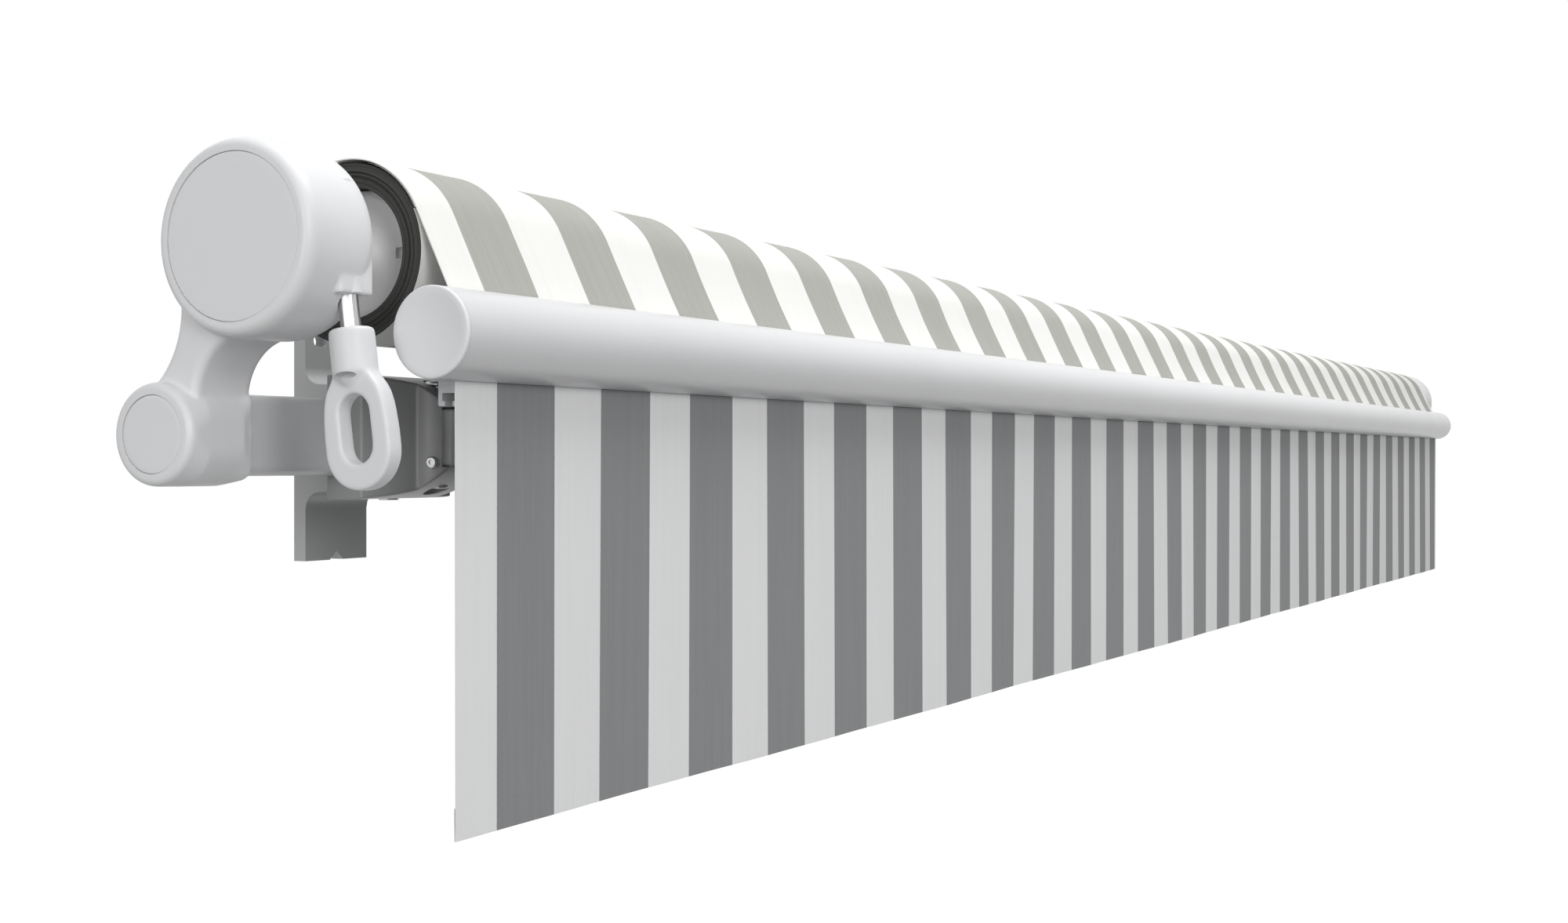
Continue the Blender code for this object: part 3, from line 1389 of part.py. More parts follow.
def hang_on_joint(name, place, pieces):
    """An empty on a joint's axis, which carries the pieces that move with it."""
    joint = bpy.data.objects.new(name, None)
    joint.empty_display_size = 0.05
    joint.location = place
    PARTS.objects.link(joint)
    for piece in pieces:
        item = bpy.data.objects[piece]
        item.parent = joint
        item.matrix_parent_inverse = Matrix.Translation(place).inverted()


def hang_moving_pieces():
    for side_name, side in SIDES.items():
        hang_on_joint(
            f"{side_name}_shoulder_joint",
            Vector((side * SHOULDER_X, SHOULDER_Y, 0.0)),
            [f"{side_name}_{part}" for part in ("upper_arm_root", "upper_arm", "elbow_fork", "elbow_pin")],
        )
        hang_on_joint(
            f"{side_name}_elbow_joint",
            Vector((side * ELBOW_X, ELBOW_Y, 0.0)),
            [f"{side_name}_{part}" for part in ("forearm_elbow", "forearm", "forearm_front")],
        )
    bar_pieces = ["front_bar", "cloth_keder", "valance_keder", "valance", "cloth_panel"]
    for side_name in SIDES:
        bar_pieces += [f"{side_name}_{part}" for part in ("bar_cap", "front_bracket", "front_pin")]
    hang_on_joint("front_joint", Vector((-SHOULDER_X, FOREARM_Y, 0.0)), bar_pieces)
    roller_pieces = ["roller_tube", "cloth_roll", "left_roller_plug", "right_roller_plug", "worm_wheel"]
    hang_on_joint("roller_joint", Vector((0.0, ROLLER_Y, ROLLER_Z)), roller_pieces)
    hang_on_joint("crank_joint", worm_point(0.0), ["worm_shaft", "crank_eye"])


def build():
    make_support_tube()
    for side_name in SIDES:
        make_carrier(side_name)
        make_outer_covers(side_name)
        make_wall_bracket(side_name)
        make_arm(side_name)
    make_inner_cover("left", HUB_RADIUS + RUNNING_GAP)
    make_inner_cover("right", 0.012 + RUNNING_GAP)
    make_worm_wheel()
    make_worm_shaft()
    make_crank_eye()
    make_roller()
    make_front_bar()
    make_cloth()
    hang_moving_pieces()


build()
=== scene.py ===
"""Folding-arm awning with striped cloth, dressed over its CAD frame."""

import json
import math

import bmesh
import bpy
from mathutils import Matrix, Vector


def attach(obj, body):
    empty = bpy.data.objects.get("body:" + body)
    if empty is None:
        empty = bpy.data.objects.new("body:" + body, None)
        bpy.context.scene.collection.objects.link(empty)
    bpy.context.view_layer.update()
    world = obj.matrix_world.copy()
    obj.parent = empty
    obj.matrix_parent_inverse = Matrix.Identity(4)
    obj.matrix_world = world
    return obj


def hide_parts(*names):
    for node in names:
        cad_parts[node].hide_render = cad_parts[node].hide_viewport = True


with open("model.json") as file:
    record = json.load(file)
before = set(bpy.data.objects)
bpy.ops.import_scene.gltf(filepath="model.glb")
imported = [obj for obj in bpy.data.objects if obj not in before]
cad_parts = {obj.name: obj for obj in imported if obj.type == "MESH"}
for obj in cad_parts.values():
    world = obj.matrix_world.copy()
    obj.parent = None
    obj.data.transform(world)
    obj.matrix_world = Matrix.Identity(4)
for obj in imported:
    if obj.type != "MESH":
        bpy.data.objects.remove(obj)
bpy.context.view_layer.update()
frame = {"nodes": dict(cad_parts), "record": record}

NODES = frame["nodes"]
SIDES = {"left": -1, "right": 1}

# Places and sizes in metres, as in the frame
HALF_CLOTH = 1.739
ROLLER_Y, ROLLER_Z = -0.118, 0.114
TUBE_Y = -0.056
TUBE_HOLE, TUBE_HOLE_CORNER = 0.0506, 0.0063
BAR_Y, BAR_Z, BAR_RADIUS = -0.200, 0.061, 0.028
BAR_END = 1.7606
CARRIER_INNER, CARRIER_FACE = 1.7806, 1.8426
ROLL_RADIUS, ROLLER_RADIUS, ROLLER_INSET = 0.059, 0.041, 0.019
VALANCE_BOTTOM = -0.246
CARRIER_DEPTH = 0.062
HEAD_RADIUS, HEAD_ROUNDING, HEAD_ROUNDING_DEPTH = 0.0585, 0.006, 0.009
HEAD_TAPER, HEAD_TAPER_DEPTH = 0.008, 0.016
HEAD_COVER_RADIUS, BOSS_COVER_RADIUS, COVER_RECESS = 0.0495, 0.0235, 0.0028
BOSS_RADIUS, BOSS_CORNER, SLEEVE_LENGTH = 0.031, 0.024, 0.056
NECK_BACK_CURVE, NECK_FRONT_CURVE = 0.060, 0.0365
HOUSING_FRONT, HOUSING_DEPTH, HOUSING_DROP = 0.0545, 0.030, 0.032
TUBE_FRONT, SHOULDER_X, SHOULDER_Y = -0.081, 1.640, -0.112
SHOULDER_BARREL, SHOULDER_HALF_HEIGHT = 0.0225, 0.041
NOSE_HEIGHT, NOSE_LENGTH = 0.034, 0.052
WORM_TILT, WORM_DISTANCE, WORM_X = math.radians(7.5), 0.0424, 1.7962

# The bar's channels for the rods in the cloth's edges
GROOVE_ANGLE = math.radians(80.0)
CHANNEL_REACH = BAR_RADIUS - 0.0055
CHANNEL_RADIUS, CHANNEL_HALF_SLIT, KEDER_RADIUS = 0.0033, 0.0015, 0.003

# The cloth and its stripes
CLOTH_THICKNESS, CLOTH_LAYER = 0.0007, 0.0011
HEM, HEM_BAND = 0.020, 0.002
STRIPE_REPEAT = 0.120
GREY_SHARE = 64 / 120
LEFT_MARGIN = 0.0424
SLOPE_SHIFT, SLOPE_GREY_SHARE = 0.0056, 59 / 120
GREY_STRIPES = 29
# One dyed cloth in two copies: these yarns are for the valance, and the top-lit yarns below are painted
# paler as painted light for the stronger light from above.
WHITE_YARN = (0.83, 0.834, 0.84)
GREY_YARN = (0.238, 0.242, 0.247)
TOPLIT_PAINTED_YARNS = ((0.85, 0.85, 0.826), (0.375, 0.375, 0.345))
YARN_PITCH, STITCH_PITCH = 0.0006, 0.0035
STRIPE_EDGE = 0.004


# Shader maths


class Tone:
    """A value inside a finish. Sums, products and comparisons of tones add their own nodes."""

    def __init__(self, finish, socket):
        self.finish = finish
        self.socket = socket

    def maths(self, operation, *values):
        inputs = dict(enumerate(values))
        return self.finish.node("ShaderNodeMath", {"operation": operation}, inputs)

    def __add__(self, other):
        return self.maths("ADD", self, other)

    def __radd__(self, other):
        return self.maths("ADD", other, self)

    def __sub__(self, other):
        return self.maths("SUBTRACT", self, other)

    def __rsub__(self, other):
        return self.maths("SUBTRACT", other, self)

    def __mul__(self, other):
        return self.maths("MULTIPLY", self, other)

    def __rmul__(self, other):
        return self.maths("MULTIPLY", other, self)

    def __truediv__(self, other):
        return self.maths("DIVIDE", self, other)

    def __lt__(self, other):
        return self.maths("LESS_THAN", self, other)

    def __gt__(self, other):
        return self.maths("GREATER_THAN", self, other)

    def fraction(self):
        return self.maths("FRACT", self)

    def sine(self):
        return self.maths("SINE", self)

    def absolute(self):
        return self.maths("ABSOLUTE", self)

    def root(self):
        return self.maths("SQRT", self)

    def between(self, low, high):
        """0 below low, 1 above high and smooth in between."""
        settings = {"interpolation_type": "SMOOTHSTEP"}
        inputs = {"Value": self, "From Min": low, "From Max": high}
        return self.finish.node("ShaderNodeMapRange", settings, inputs)


class Finish:
    """A procedural material for one finish of the awning."""

    def __init__(self, name, color, roughness, metallic=0.0, **shader_values):
        self.material = bpy.data.materials.new(name)
        self.material.use_nodes = True
        self.tree = self.material.node_tree
        self.shader = self.tree.nodes["Principled BSDF"]
        self.feed(self.shader.inputs["Base Color"], color)
        self.feed(self.shader.inputs["Roughness"], roughness)
        self.feed(self.shader.inputs["Metallic"], metallic)
        for socket, value in shader_values.items():
            self.feed(self.shader.inputs[socket.replace("_", " ")], value)

    def feed(self, socket, value):
        if isinstance(value, Tone):
            self.tree.links.new(value.socket, socket)
        elif socket.type == "RGBA":
            socket.default_value = (*value[:3], 1.0)
        else:
            socket.default_value = value

    def node(self, kind, settings=None, inputs=None, output=0):
        node = self.tree.nodes.new(kind)
        for name, value in (settings or {}).items():
            setattr(node, name, value)
        for name, value in (inputs or {}).items():
            self.feed(node.inputs[name], value)
        return Tone(self, node.outputs[output])

    def set(self, socket, tone):
        self.feed(self.shader.inputs[socket], tone)

    def place(self):
        """Where a point lies in the awning's own frame, in metres."""
        return self.node("ShaderNodeTexCoord", output="Object")

    def axes(self, vector):
        split = self.tree.nodes.new("ShaderNodeSeparateXYZ")
        self.feed(split.inputs[0], vector)
        return [Tone(self, socket) for socket in split.outputs]

    def grain(self, scale, detail=2.0, roughness=0.5, stretch=(1, 1, 1)):
        """Noise from 0 to 1 whose features are about 1/scale metres across."""
        vector = self.place()
        if stretch != (1, 1, 1):
            settings = {"operation": "MULTIPLY"}
            vector = self.node("ShaderNodeVectorMath", settings, {0: vector, 1: stretch})
        inputs = {"Vector": vector, "Scale": scale, "Detail": detail, "Roughness": roughness}
        return self.node("ShaderNodeTexNoise", None, inputs)

    def blend(self, amount, first, second):
        """The first colour where amount is 0 and the second where it is 1."""
        settings = {"data_type": "RGBA"}
        return self.node("ShaderNodeMix", settings, {0: amount, 6: first, 7: second}, output=2)

    def bump(self, height, distance, strength):
        inputs = {"Height": height, "Distance": distance, "Strength": strength}
        self.set("Normal", self.node("ShaderNodeBump", None, inputs))


# Finishes


def shaded(color, amount):
    return tuple(channel * amount for channel in color)


def powder_coat(name, color, roughness=0.36):
    """Baked powder paint: a faint orange peel, cloudy gloss and a trace of dust."""
    finish = Finish(name, color, roughness, Coat_Weight=0.15, Coat_Roughness=0.25)
    cloud = finish.grain(9.0, 3.0)
    dust = finish.grain(55.0, 4.0, 0.6)
    tint = cloud.between(0.35, 0.75) * 0.6 + dust * 0.2
    finish.set("Base Color", finish.blend(tint, color, shaded(color, 0.955)))
    finish.set("Roughness", roughness - 0.05 + cloud * 0.07 + dust * 0.06)
    orange_peel = finish.grain(900.0, 2.0) + finish.grain(260.0, 2.0) * 0.6
    finish.bump(orange_peel, 0.00005, 0.6)
    return finish.material


def cast_coat(name, color):
    """Paint over die-cast aluminium: soft pits and flow under the coat."""
    finish = Finish(name, color, 0.42, Coat_Weight=0.1, Coat_Roughness=0.3)
    cloud = finish.grain(14.0, 3.0)
    pits = finish.grain(420.0, 3.0, 0.6)
    finish.set("Base Color", finish.blend(cloud.between(0.3, 0.8), color, shaded(color, 0.95)))
    finish.set("Roughness", 0.36 + cloud * 0.09 + pits * 0.06)
    finish.bump(pits + finish.grain(70.0, 2.0) * 1.4, 0.00012, 0.5)
    return finish.material


def moulded_plastic(name, color):
    """Satin moulded plastic with a fine spark-eroded texture."""
    finish = Finish(name, color, 0.45)
    cloud = finish.grain(20.0, 2.0)
    spark = finish.grain(1500.0, 2.0)
    finish.set("Base Color", finish.blend(cloud * 0.6 + spark * 0.2, color, shaded(color, 0.95)))
    finish.set("Roughness", 0.39 + cloud * 0.06 + spark * 0.08)
    finish.bump(spark, 0.00005, 0.6)
    return finish.material


def plated_steel(name, color):
    """Zinc plate: faint drawn lines and dull patches."""
    finish = Finish(name, color, 0.32, 1.0)
    patch = finish.grain(60.0, 3.0)
    drawn = finish.grain(500.0, 2.0, 0.5, (0.06, 1, 1))
    finish.set("Base Color", finish.blend(patch * 0.8, color, shaded(color, 0.78)))
    finish.set("Roughness", 0.27 + patch * 0.14 + drawn * 0.06)
    finish.bump(drawn, 0.00003, 0.5)
    return finish.material


def bronze_wheel(name):
    """Worn bronze with faint turning lines."""
    finish = Finish(name, (0.52, 0.36, 0.17), 0.34, 1.0)
    turning = finish.grain(350.0, 2.0, 0.5, (1, 0.2, 0.2))
    finish.set("Base Color", finish.blend(finish.grain(40.0), (0.55, 0.39, 0.19), (0.40, 0.26, 0.12)))
    finish.set("Roughness", 0.30 + turning * 0.12)
    finish.bump(turning, 0.00003, 0.5)
    return finish.material


def cloth_measures(finish):
    """Distances over the cloth in metres: along the awning and down the cloth."""
    uv = finish.node("ShaderNodeUVMap", {"uv_map": "cloth"})
    along, down, _ = finish.axes(uv)
    return along, down


def weave(finish, along, down):
    """A plain weave: warp and weft pass over each other one by one, with uneven yarns."""
    turn = 2 * math.pi / YARN_PITCH
    crossing = (along * turn).sine() * (down * turn).sine()
    warp_slub = finish.grain(700.0, 2.0, 0.6, (1, 1, 0.15))
    weft_slub = finish.grain(700.0, 2.0, 0.6, (0.15, 1, 1))
    return crossing * 0.5 + (warp_slub + weft_slub) * 0.7


def striped_cloth(name, painted_toplight=False, white_below=None, stitch_at=None):
    """Dyed acrylic in block stripes. The top-lit copy has both yarns painted paler, as painted light
    from above, and its grey stripes are a little narrower.

    White_below is how far down a plain white hem starts, and stitch_at how far down a seam runs.
    """
    # Painted light: the top-lit copy takes the paler painted yarns.
    white_yarn, grey_yarn = TOPLIT_PAINTED_YARNS if painted_toplight else (WHITE_YARN, GREY_YARN)
    share = SLOPE_GREY_SHARE if painted_toplight else GREY_SHARE
    shift = SLOPE_SHIFT if painted_toplight else 0.0
    finish = Finish(name, white_yarn, 0.85, Sheen_Weight=0.10, Sheen_Roughness=0.5)
    along, down = cloth_measures(finish)
    count = (along + (HALF_CLOTH - LEFT_MARGIN + shift)) / STRIPE_REPEAT
    across = count.fraction() + (finish.grain(500.0, 2.0) - 0.5) * STRIPE_EDGE
    started = across.between(0.0, STRIPE_EDGE)
    ended = across.between(share, share + STRIPE_EDGE)
    grey = started * (1 - ended) * (count > 0.0) * (count < GREY_STRIPES)
    if white_below is not None:
        grey = grey * (down < white_below)
    fibres = finish.grain(1600.0, 2.0)
    broad = finish.grain(6.0, 3.0)
    warp = finish.grain(260.0, 3.0, 0.6, (1, 0.03, 0.03)).between(0.35, 0.7)
    mottle = fibres * 0.4 + broad * 0.25 + warp * 0.22
    white = finish.blend(mottle, shaded(white_yarn, 1.02), shaded(white_yarn, 0.92))
    dark = finish.blend(mottle, shaded(grey_yarn, 1.12), shaded(grey_yarn, 0.84))
    finish.set("Base Color", finish.blend(grey, white, dark))
    finish.set("Roughness", 0.80 + fibres * 0.12)
    relief = weave(finish, along, down)
    if stitch_at is not None:
        near = 1 - (down - stitch_at).absolute().between(0.0003, 0.0010)
        cycle = (along / STITCH_PITCH).fraction()
        thread = cycle.between(0.15, 0.35) * (1 - cycle.between(0.75, 0.95))
        relief = relief + near * (thread * 3.0 - 2.0)
    finish.bump(relief, 0.00012, 0.35)
    return finish.material


def wound_edge_painted_shade(name):
    """The cut edges of the cloth's turns at the end of its roll, painted near black as painted shade
    for the deep shadow between head and roll; the rings of the turns are their own.
    """
    # Painted shade: these near-black colours stand in for shadow; the cloth's cut edges are pale in
    # themselves.
    finish = Finish(name, (0.06, 0.06, 0.06), 0.9)
    _, y, z = finish.axes(finish.place())
    y, z = y - ROLLER_Y, z - ROLLER_Z
    radius = (y * y + z * z).root()
    turn = (radius * (2 * math.pi / CLOTH_LAYER)).sine()
    fibres = finish.grain(900.0, 3.0)
    shade = turn * 0.35 + fibres * 0.6
    finish.set("Base Color", finish.blend(shade, (0.07, 0.07, 0.066), (0.015, 0.015, 0.015)))
    finish.bump(turn + fibres, 0.0002, 0.6)
    return finish.material


# Painted shade: the shoulders are white castings like the heads, painted dark grey to stand in for the
# shade under the roll and bar.
SHOULDER_SHADE_FINISH = cast_coat("shoulder_painted_shade", (0.27, 0.272, 0.275))
FINISHES = {
    "white_cast": cast_coat("white_cast", (0.755, 0.76, 0.77)),
    "white_bar": powder_coat("white_bar", (0.66, 0.665, 0.675), roughness=0.3),
    "white_plastic": moulded_plastic("white_plastic", (0.75, 0.76, 0.775)),
    "tube_paint": powder_coat("tube_paint", (0.60, 0.61, 0.62)),
    "galvanised": cast_coat("galvanised", (0.50, 0.505, 0.51)),
    "steel": plated_steel("steel", (0.56, 0.56, 0.57)),
    "bronze": bronze_wheel("bronze"),
    "grey_plastic": moulded_plastic("grey_plastic", (0.80, 0.80, 0.80)),
    "cloth": striped_cloth("cloth"),
}


# Modelling helpers


def settle(item, finish, body, stands_for=()):
    """Gives a piece its finish and its body, and hides the CAD nodes that it stands for."""
    item.data.materials.clear()
    item.data.materials.append(finish)
    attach(item, body)
    if stands_for:
        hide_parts(*stands_for)


def loose_object(name, bm, recalculate=True):
    """An object of its own from a mesh that is being built."""
    if recalculate:
        bmesh.ops.recalc_face_normals(bm, faces=bm.faces)
    mesh = bpy.data.meshes.new(name)
    bm.to_mesh(mesh)
    bm.free()
    item = bpy.data.objects.new(name, mesh)
    bpy.context.scene.collection.objects.link(item)
    return item


def facing(axis):
    """Turns a flat outline's own u, v and height to the frame, for the axis that it faces."""
    columns = {
        "X": ((0, 1, 0), (0, 0, 1), (1, 0, 0)),
        "Y": ((1, 0, 0), (0, 0, 1), (0, 1, 0)),
        "Z": ((1, 0, 0), (0, 1, 0), (0, 0, 1)),
    }
    return Matrix(columns[axis]).transposed().to_4x4()


def prism(name, outline, axis, start, end):
    """Extrudes a closed flat outline between two heights along an axis."""
    bm = bmesh.new()
    turn = facing(axis)
    base = bm.faces.new([bm.verts.new(turn @ Vector((u, v, start))) for u, v in outline])
    grown = bmesh.ops.extrude_face_region(bm, geom=[base])["geom"]
    lift = turn @ Vector((0.0, 0.0, end - start))
    lid = [part for part in grown if isinstance(part, bmesh.types.BMVert)]
    bmesh.ops.translate(bm, vec=lift, verts=lid)
    return loose_object(name, bm)


def loft(name, rings):
    """Skins a row of rings of points and closes both ends."""
    bm = bmesh.new()
    loops = [[bm.verts.new(point) for point in ring] for ring in rings]
    count = len(loops[0])
    for low, high in zip(loops, loops[1:]):
        for i in range(count):
            j = (i + 1) % count
            bm.faces.new((low[i], low[j], high[j], high[i]))
    bm.faces.new(loops[0])
    bm.faces.new(loops[-1])
    return loose_object(name, bm)


def turned(name, profile, centre, axis, steps=96):
    """Turns a profile of (radius, height) pairs round an axis."""
    bm = bmesh.new()
    points = [bm.verts.new((radius, 0.0, height)) for radius, height in profile]
    edges = [bm.edges.new(pair) for pair in zip(points, points[1:])]
    bmesh.ops.spin(
        bm,
        geom=points + edges,
        cent=(0, 0, 0),
        axis=(0, 0, 1),
        angle=2 * math.pi,
        steps=steps,
        use_merge=True,
        use_duplicate=False,
    )
    bmesh.ops.remove_doubles(bm, verts=bm.verts, dist=1e-6)
    item = loose_object(name, bm)
    turn = Vector(axis).to_track_quat("Z", "Y").to_matrix().to_4x4()
    item.data.transform(Matrix.Translation(centre) @ turn)
    return item


def apply_modifiers(item):
    """Makes what the modifiers show the piece's own mesh."""
    depsgraph = bpy.context.evaluated_depsgraph_get()
    mesh = bpy.data.meshes.new_from_object(item.evaluated_get(depsgraph))
    item.modifiers.clear()
    old = item.data
    item.data = mesh
    bpy.data.meshes.remove(old)


def boolean(item, tool, operation):
    """Joins, cuts or intersects a piece with a tool, which is used up."""
    step = item.modifiers.new("step", "BOOLEAN")
    step.operation = operation
    step.solver = "EXACT"
    step.object = tool
    apply_modifiers(item)
    bpy.data.objects.remove(tool, do_unlink=True)


def join(item, *tools):
    for tool in tools:
        boolean(item, tool, "UNION")


def cut(item, *tools):
    for tool in tools:
        boolean(item, tool, "DIFFERENCE")


def cast_round(item, voxel, smoothing):
    """Runs every edge and inner corner together, as in a casting."""
    remesh = item.modifiers.new("skin", "REMESH")
    remesh.mode = "VOXEL"
    remesh.voxel_size = voxel
    smooth = item.modifiers.new("flow", "SMOOTH")
    smooth.factor = 0.5
    smooth.iterations = smoothing
    apply_modifiers(item)


def smooth_shading(item, angle=35):
    """Smooth faces, with a crisp line where they meet at more than an angle in degrees."""
    item.data.shade_smooth()
    item.data.set_sharp_from_angle(angle=math.radians(angle))


def arc(centre, radius, start, end, steps):
    """Points of an arc between two angles in degrees."""
    points = []
    for i in range(steps + 1):
        angle = math.radians(start + (end - start) * i / steps)
        points.append((centre[0] + radius * math.cos(angle), centre[1] + radius * math.sin(angle)))
    return points


def circle(centre, radius, steps):
    """Points of a whole circle."""
    return arc(centre, radius, 0, 360, steps)[:-1]


def rounded_rectangle(centre, width, height, corner, steps=8):
    """Points of a rectangle with round corners."""
    points = []
    for quarter, (sign_u, sign_v) in enumerate(((1, 1), (-1, 1), (-1, -1), (1, -1))):
        u = centre[0] + sign_u * (width / 2 - corner)
        v = centre[1] + sign_v * (height / 2 - corner)
        points += arc((u, v), corner, 90 * quarter, 90 * quarter + 90, steps)
    return points


def tube_hole():
    """Side view of the hole that the square tube runs in."""
    return rounded_rectangle((TUBE_Y, 0.0), TUBE_HOLE, TUBE_HOLE, TUBE_HOLE_CORNER)


# CAD nodes that keep their shape


def dress_node(name):
    """Closes a node's faces up, rounds its edges a little and gives it its finish."""
    node = NODES[name]
    node.data.materials.clear()
    node.data.materials.append(FINISHES[SLOTS[name]])
    if "custom_normal" in node.data.attributes:
        node.data.attributes.remove(node.data.attributes["custom_normal"])
    weld = node.modifiers.new("weld", "WELD")
    weld.merge_threshold = 0.00002
    flats = node.modifiers.new("flats", "DECIMATE")
    flats.decimate_type = "DISSOLVE"
    flats.angle_limit = math.radians(0.6)
    edge = node.modifiers.new("soft_edges", "BEVEL")
    edge.width = EDGE_ROUNDING.get(name, 0.0006)
    edge.segments = 2
    edge.limit_method = "ANGLE"
    edge.angle_limit = math.radians(30)
    edge.harden_normals = False
    even = node.modifiers.new("even_flats", "WEIGHTED_NORMAL")
    even.keep_sharp = True
    node.data.shade_smooth()


SLOTS = {part["node"]: part["material_slot"] for part in frame["record"]["subparts"]}
EDGE_ROUNDING = dict.fromkeys(("worm_wheel", "worm_shaft", "cloth_keder", "valance_keder"), 0.0001)
for node_name in NODES:
    dress_node(node_name)


# Cloth


def slit_mouth():
    """Where the cloth enters the bar, as y and z."""
    outward = Vector((math.cos(GROOVE_ANGLE), math.sin(GROOVE_ANGLE)))
    return Vector((BAR_Y, BAR_Z)) + outward * BAR_RADIUS


def leaving_angle():
    """The angle on the roll at which the cloth leaves it towards the bar."""
    away = slit_mouth() - Vector((ROLLER_Y, ROLLER_Z))
    return math.atan2(away.y, away.x) - math.acos((ROLL_RADIUS - 0.0012) / away.length)


def cloth_grid(name, stations, lines, shape, thickness=CLOTH_THICKNESS):
    """A sheet over a grid: shape gives the point for a place along the awning and a step down."""
    bm = bmesh.new()
    layer = bm.loops.layers.uv.new("cloth")
    rows = [[bm.verts.new(shape(x, step)) for x in stations] for step in range(len(lines))]
    for i in range(len(lines) - 1):
        for j in range(len(stations) - 1):
            face = bm.faces.new((rows[i][j], rows[i][j + 1], rows[i + 1][j + 1], rows[i + 1][j]))
            corners = ((j, i), (j + 1, i), (j + 1, i + 1), (j, i + 1))
            for loop, (across, down) in zip(face.loops, corners):
                loop[layer].uv = (stations[across], lines[down])
    item = loose_object(name, bm, recalculate=False)
    if thickness:
        shell = item.modifiers.new("cloth_thickness", "SOLIDIFY")
        shell.thickness = thickness
        shell.offset = 0.0
        apply_modifiers(item)
    smooth_shading(item, 50)
    return item


def spread(low, high, count):
    """Even steps from low to high."""
    return [low + (high - low) * i / count for i in range(count + 1)]


def line_lengths(line):
    """How far along a line each of its points lies."""
    lengths = [0.0]
    for first, second in zip(line, line[1:]):
        lengths.append(lengths[-1] + (Vector(second) - Vector(first)).length)
    return lengths


def make_cloth_panel():
    """The free cloth over the front of the roll and down into the bar, a little slack between."""
    leave, wrap, wrap_steps, free_steps = math.degrees(leaving_angle()), 74, 30, 12
    line = arc((ROLLER_Y, ROLLER_Z), ROLL_RADIUS - 0.0004, leave - wrap, leave, wrap_steps)
    mouth = slit_mouth()
    start = Vector(line[-1])
    inward = (Vector((BAR_Y, BAR_Z)) - mouth).normalized()
    end = mouth - inward * 0.0008
    for i in range(1, free_steps + 1):
        line.append(tuple(start.lerp(end, i / free_steps)))
    line.append(tuple(mouth + inward * 0.0015))
    lengths = line_lengths(line)

    def shape(x, step):
        y, z = line[step]
        share = max(0.0, (step - wrap_steps) / (free_steps + 1))
        slack = math.sin(math.pi * share)
        dip = 0.0006 + 0.0005 * math.sin(x * 5.1 + 0.6) + 0.0003 * math.sin(x * 13.7 + 2.0)
        pucker = 0.00025 * math.sin(x * 61.0 + 1.1 * math.sin(x * 3.3)) * share * slack
        away = Vector((-(end - start).y, (end - start).x)).normalized() * (slack * dip - pucker)
        return (x, y + away.x, z + away.y)

    panel = cloth_grid("cloth_panel_weave", spread(-HALF_CLOTH, HALF_CLOTH, 420), lengths, shape)
    # Painted light: the slope's cloth gets the paler, top-lit yarns.
    finish = striped_cloth("cloth_slope", painted_toplight=True, white_below=lengths[-1] - HEM_BAND)
    settle(panel, finish, "front_bar_body", ["cloth_panel"])


def make_valance():
    """The short curtain under the bar, with a turned-up hem and a nearly straight hang."""
    top = BAR_Z - BAR_RADIUS + 0.0018
    full = top - VALANCE_BOTTOM
    lines = spread(0.0, full - HEM - 0.002, 26)
    lines += [full - rise for rise in (HEM + 0.0012, HEM, HEM - 0.0008, 0.0)]

    def wave(x, share):
        return (
            0.0011 * share * math.sin(x * 7.3 + 0.4)
            + 0.0007 * share * math.sin(x * 17.0 + 2.2)
            + 0.0003 * share * math.sin(x * 47.0 + math.sin(x * 5.0))
        )

    def shape(x, step):
        share = lines[step] / full
        return (x, BAR_Y + wave(x, share), top - lines[step])

    valance = cloth_grid("valance_weave", spread(-HALF_CLOTH, HALF_CLOTH, 480), lines, shape)
    finish = striped_cloth("cloth_valance", stitch_at=full - HEM + 0.0012)
    settle(valance, finish, "front_bar_body", ["valance"])
    back = [0.0, HEM * 0.5, HEM]

    def turned_up(x, step):
        place = full - HEM + back[step]
        push = 0.0010 if step < 2 else 0.0007
        return (x, BAR_Y + wave(x, place / full) + push, top - place)

    strip = cloth_grid("valance_hem", spread(-HALF_CLOTH, HALF_CLOTH, 480), back, turned_up)
    settle(strip, finish, "front_bar_body")


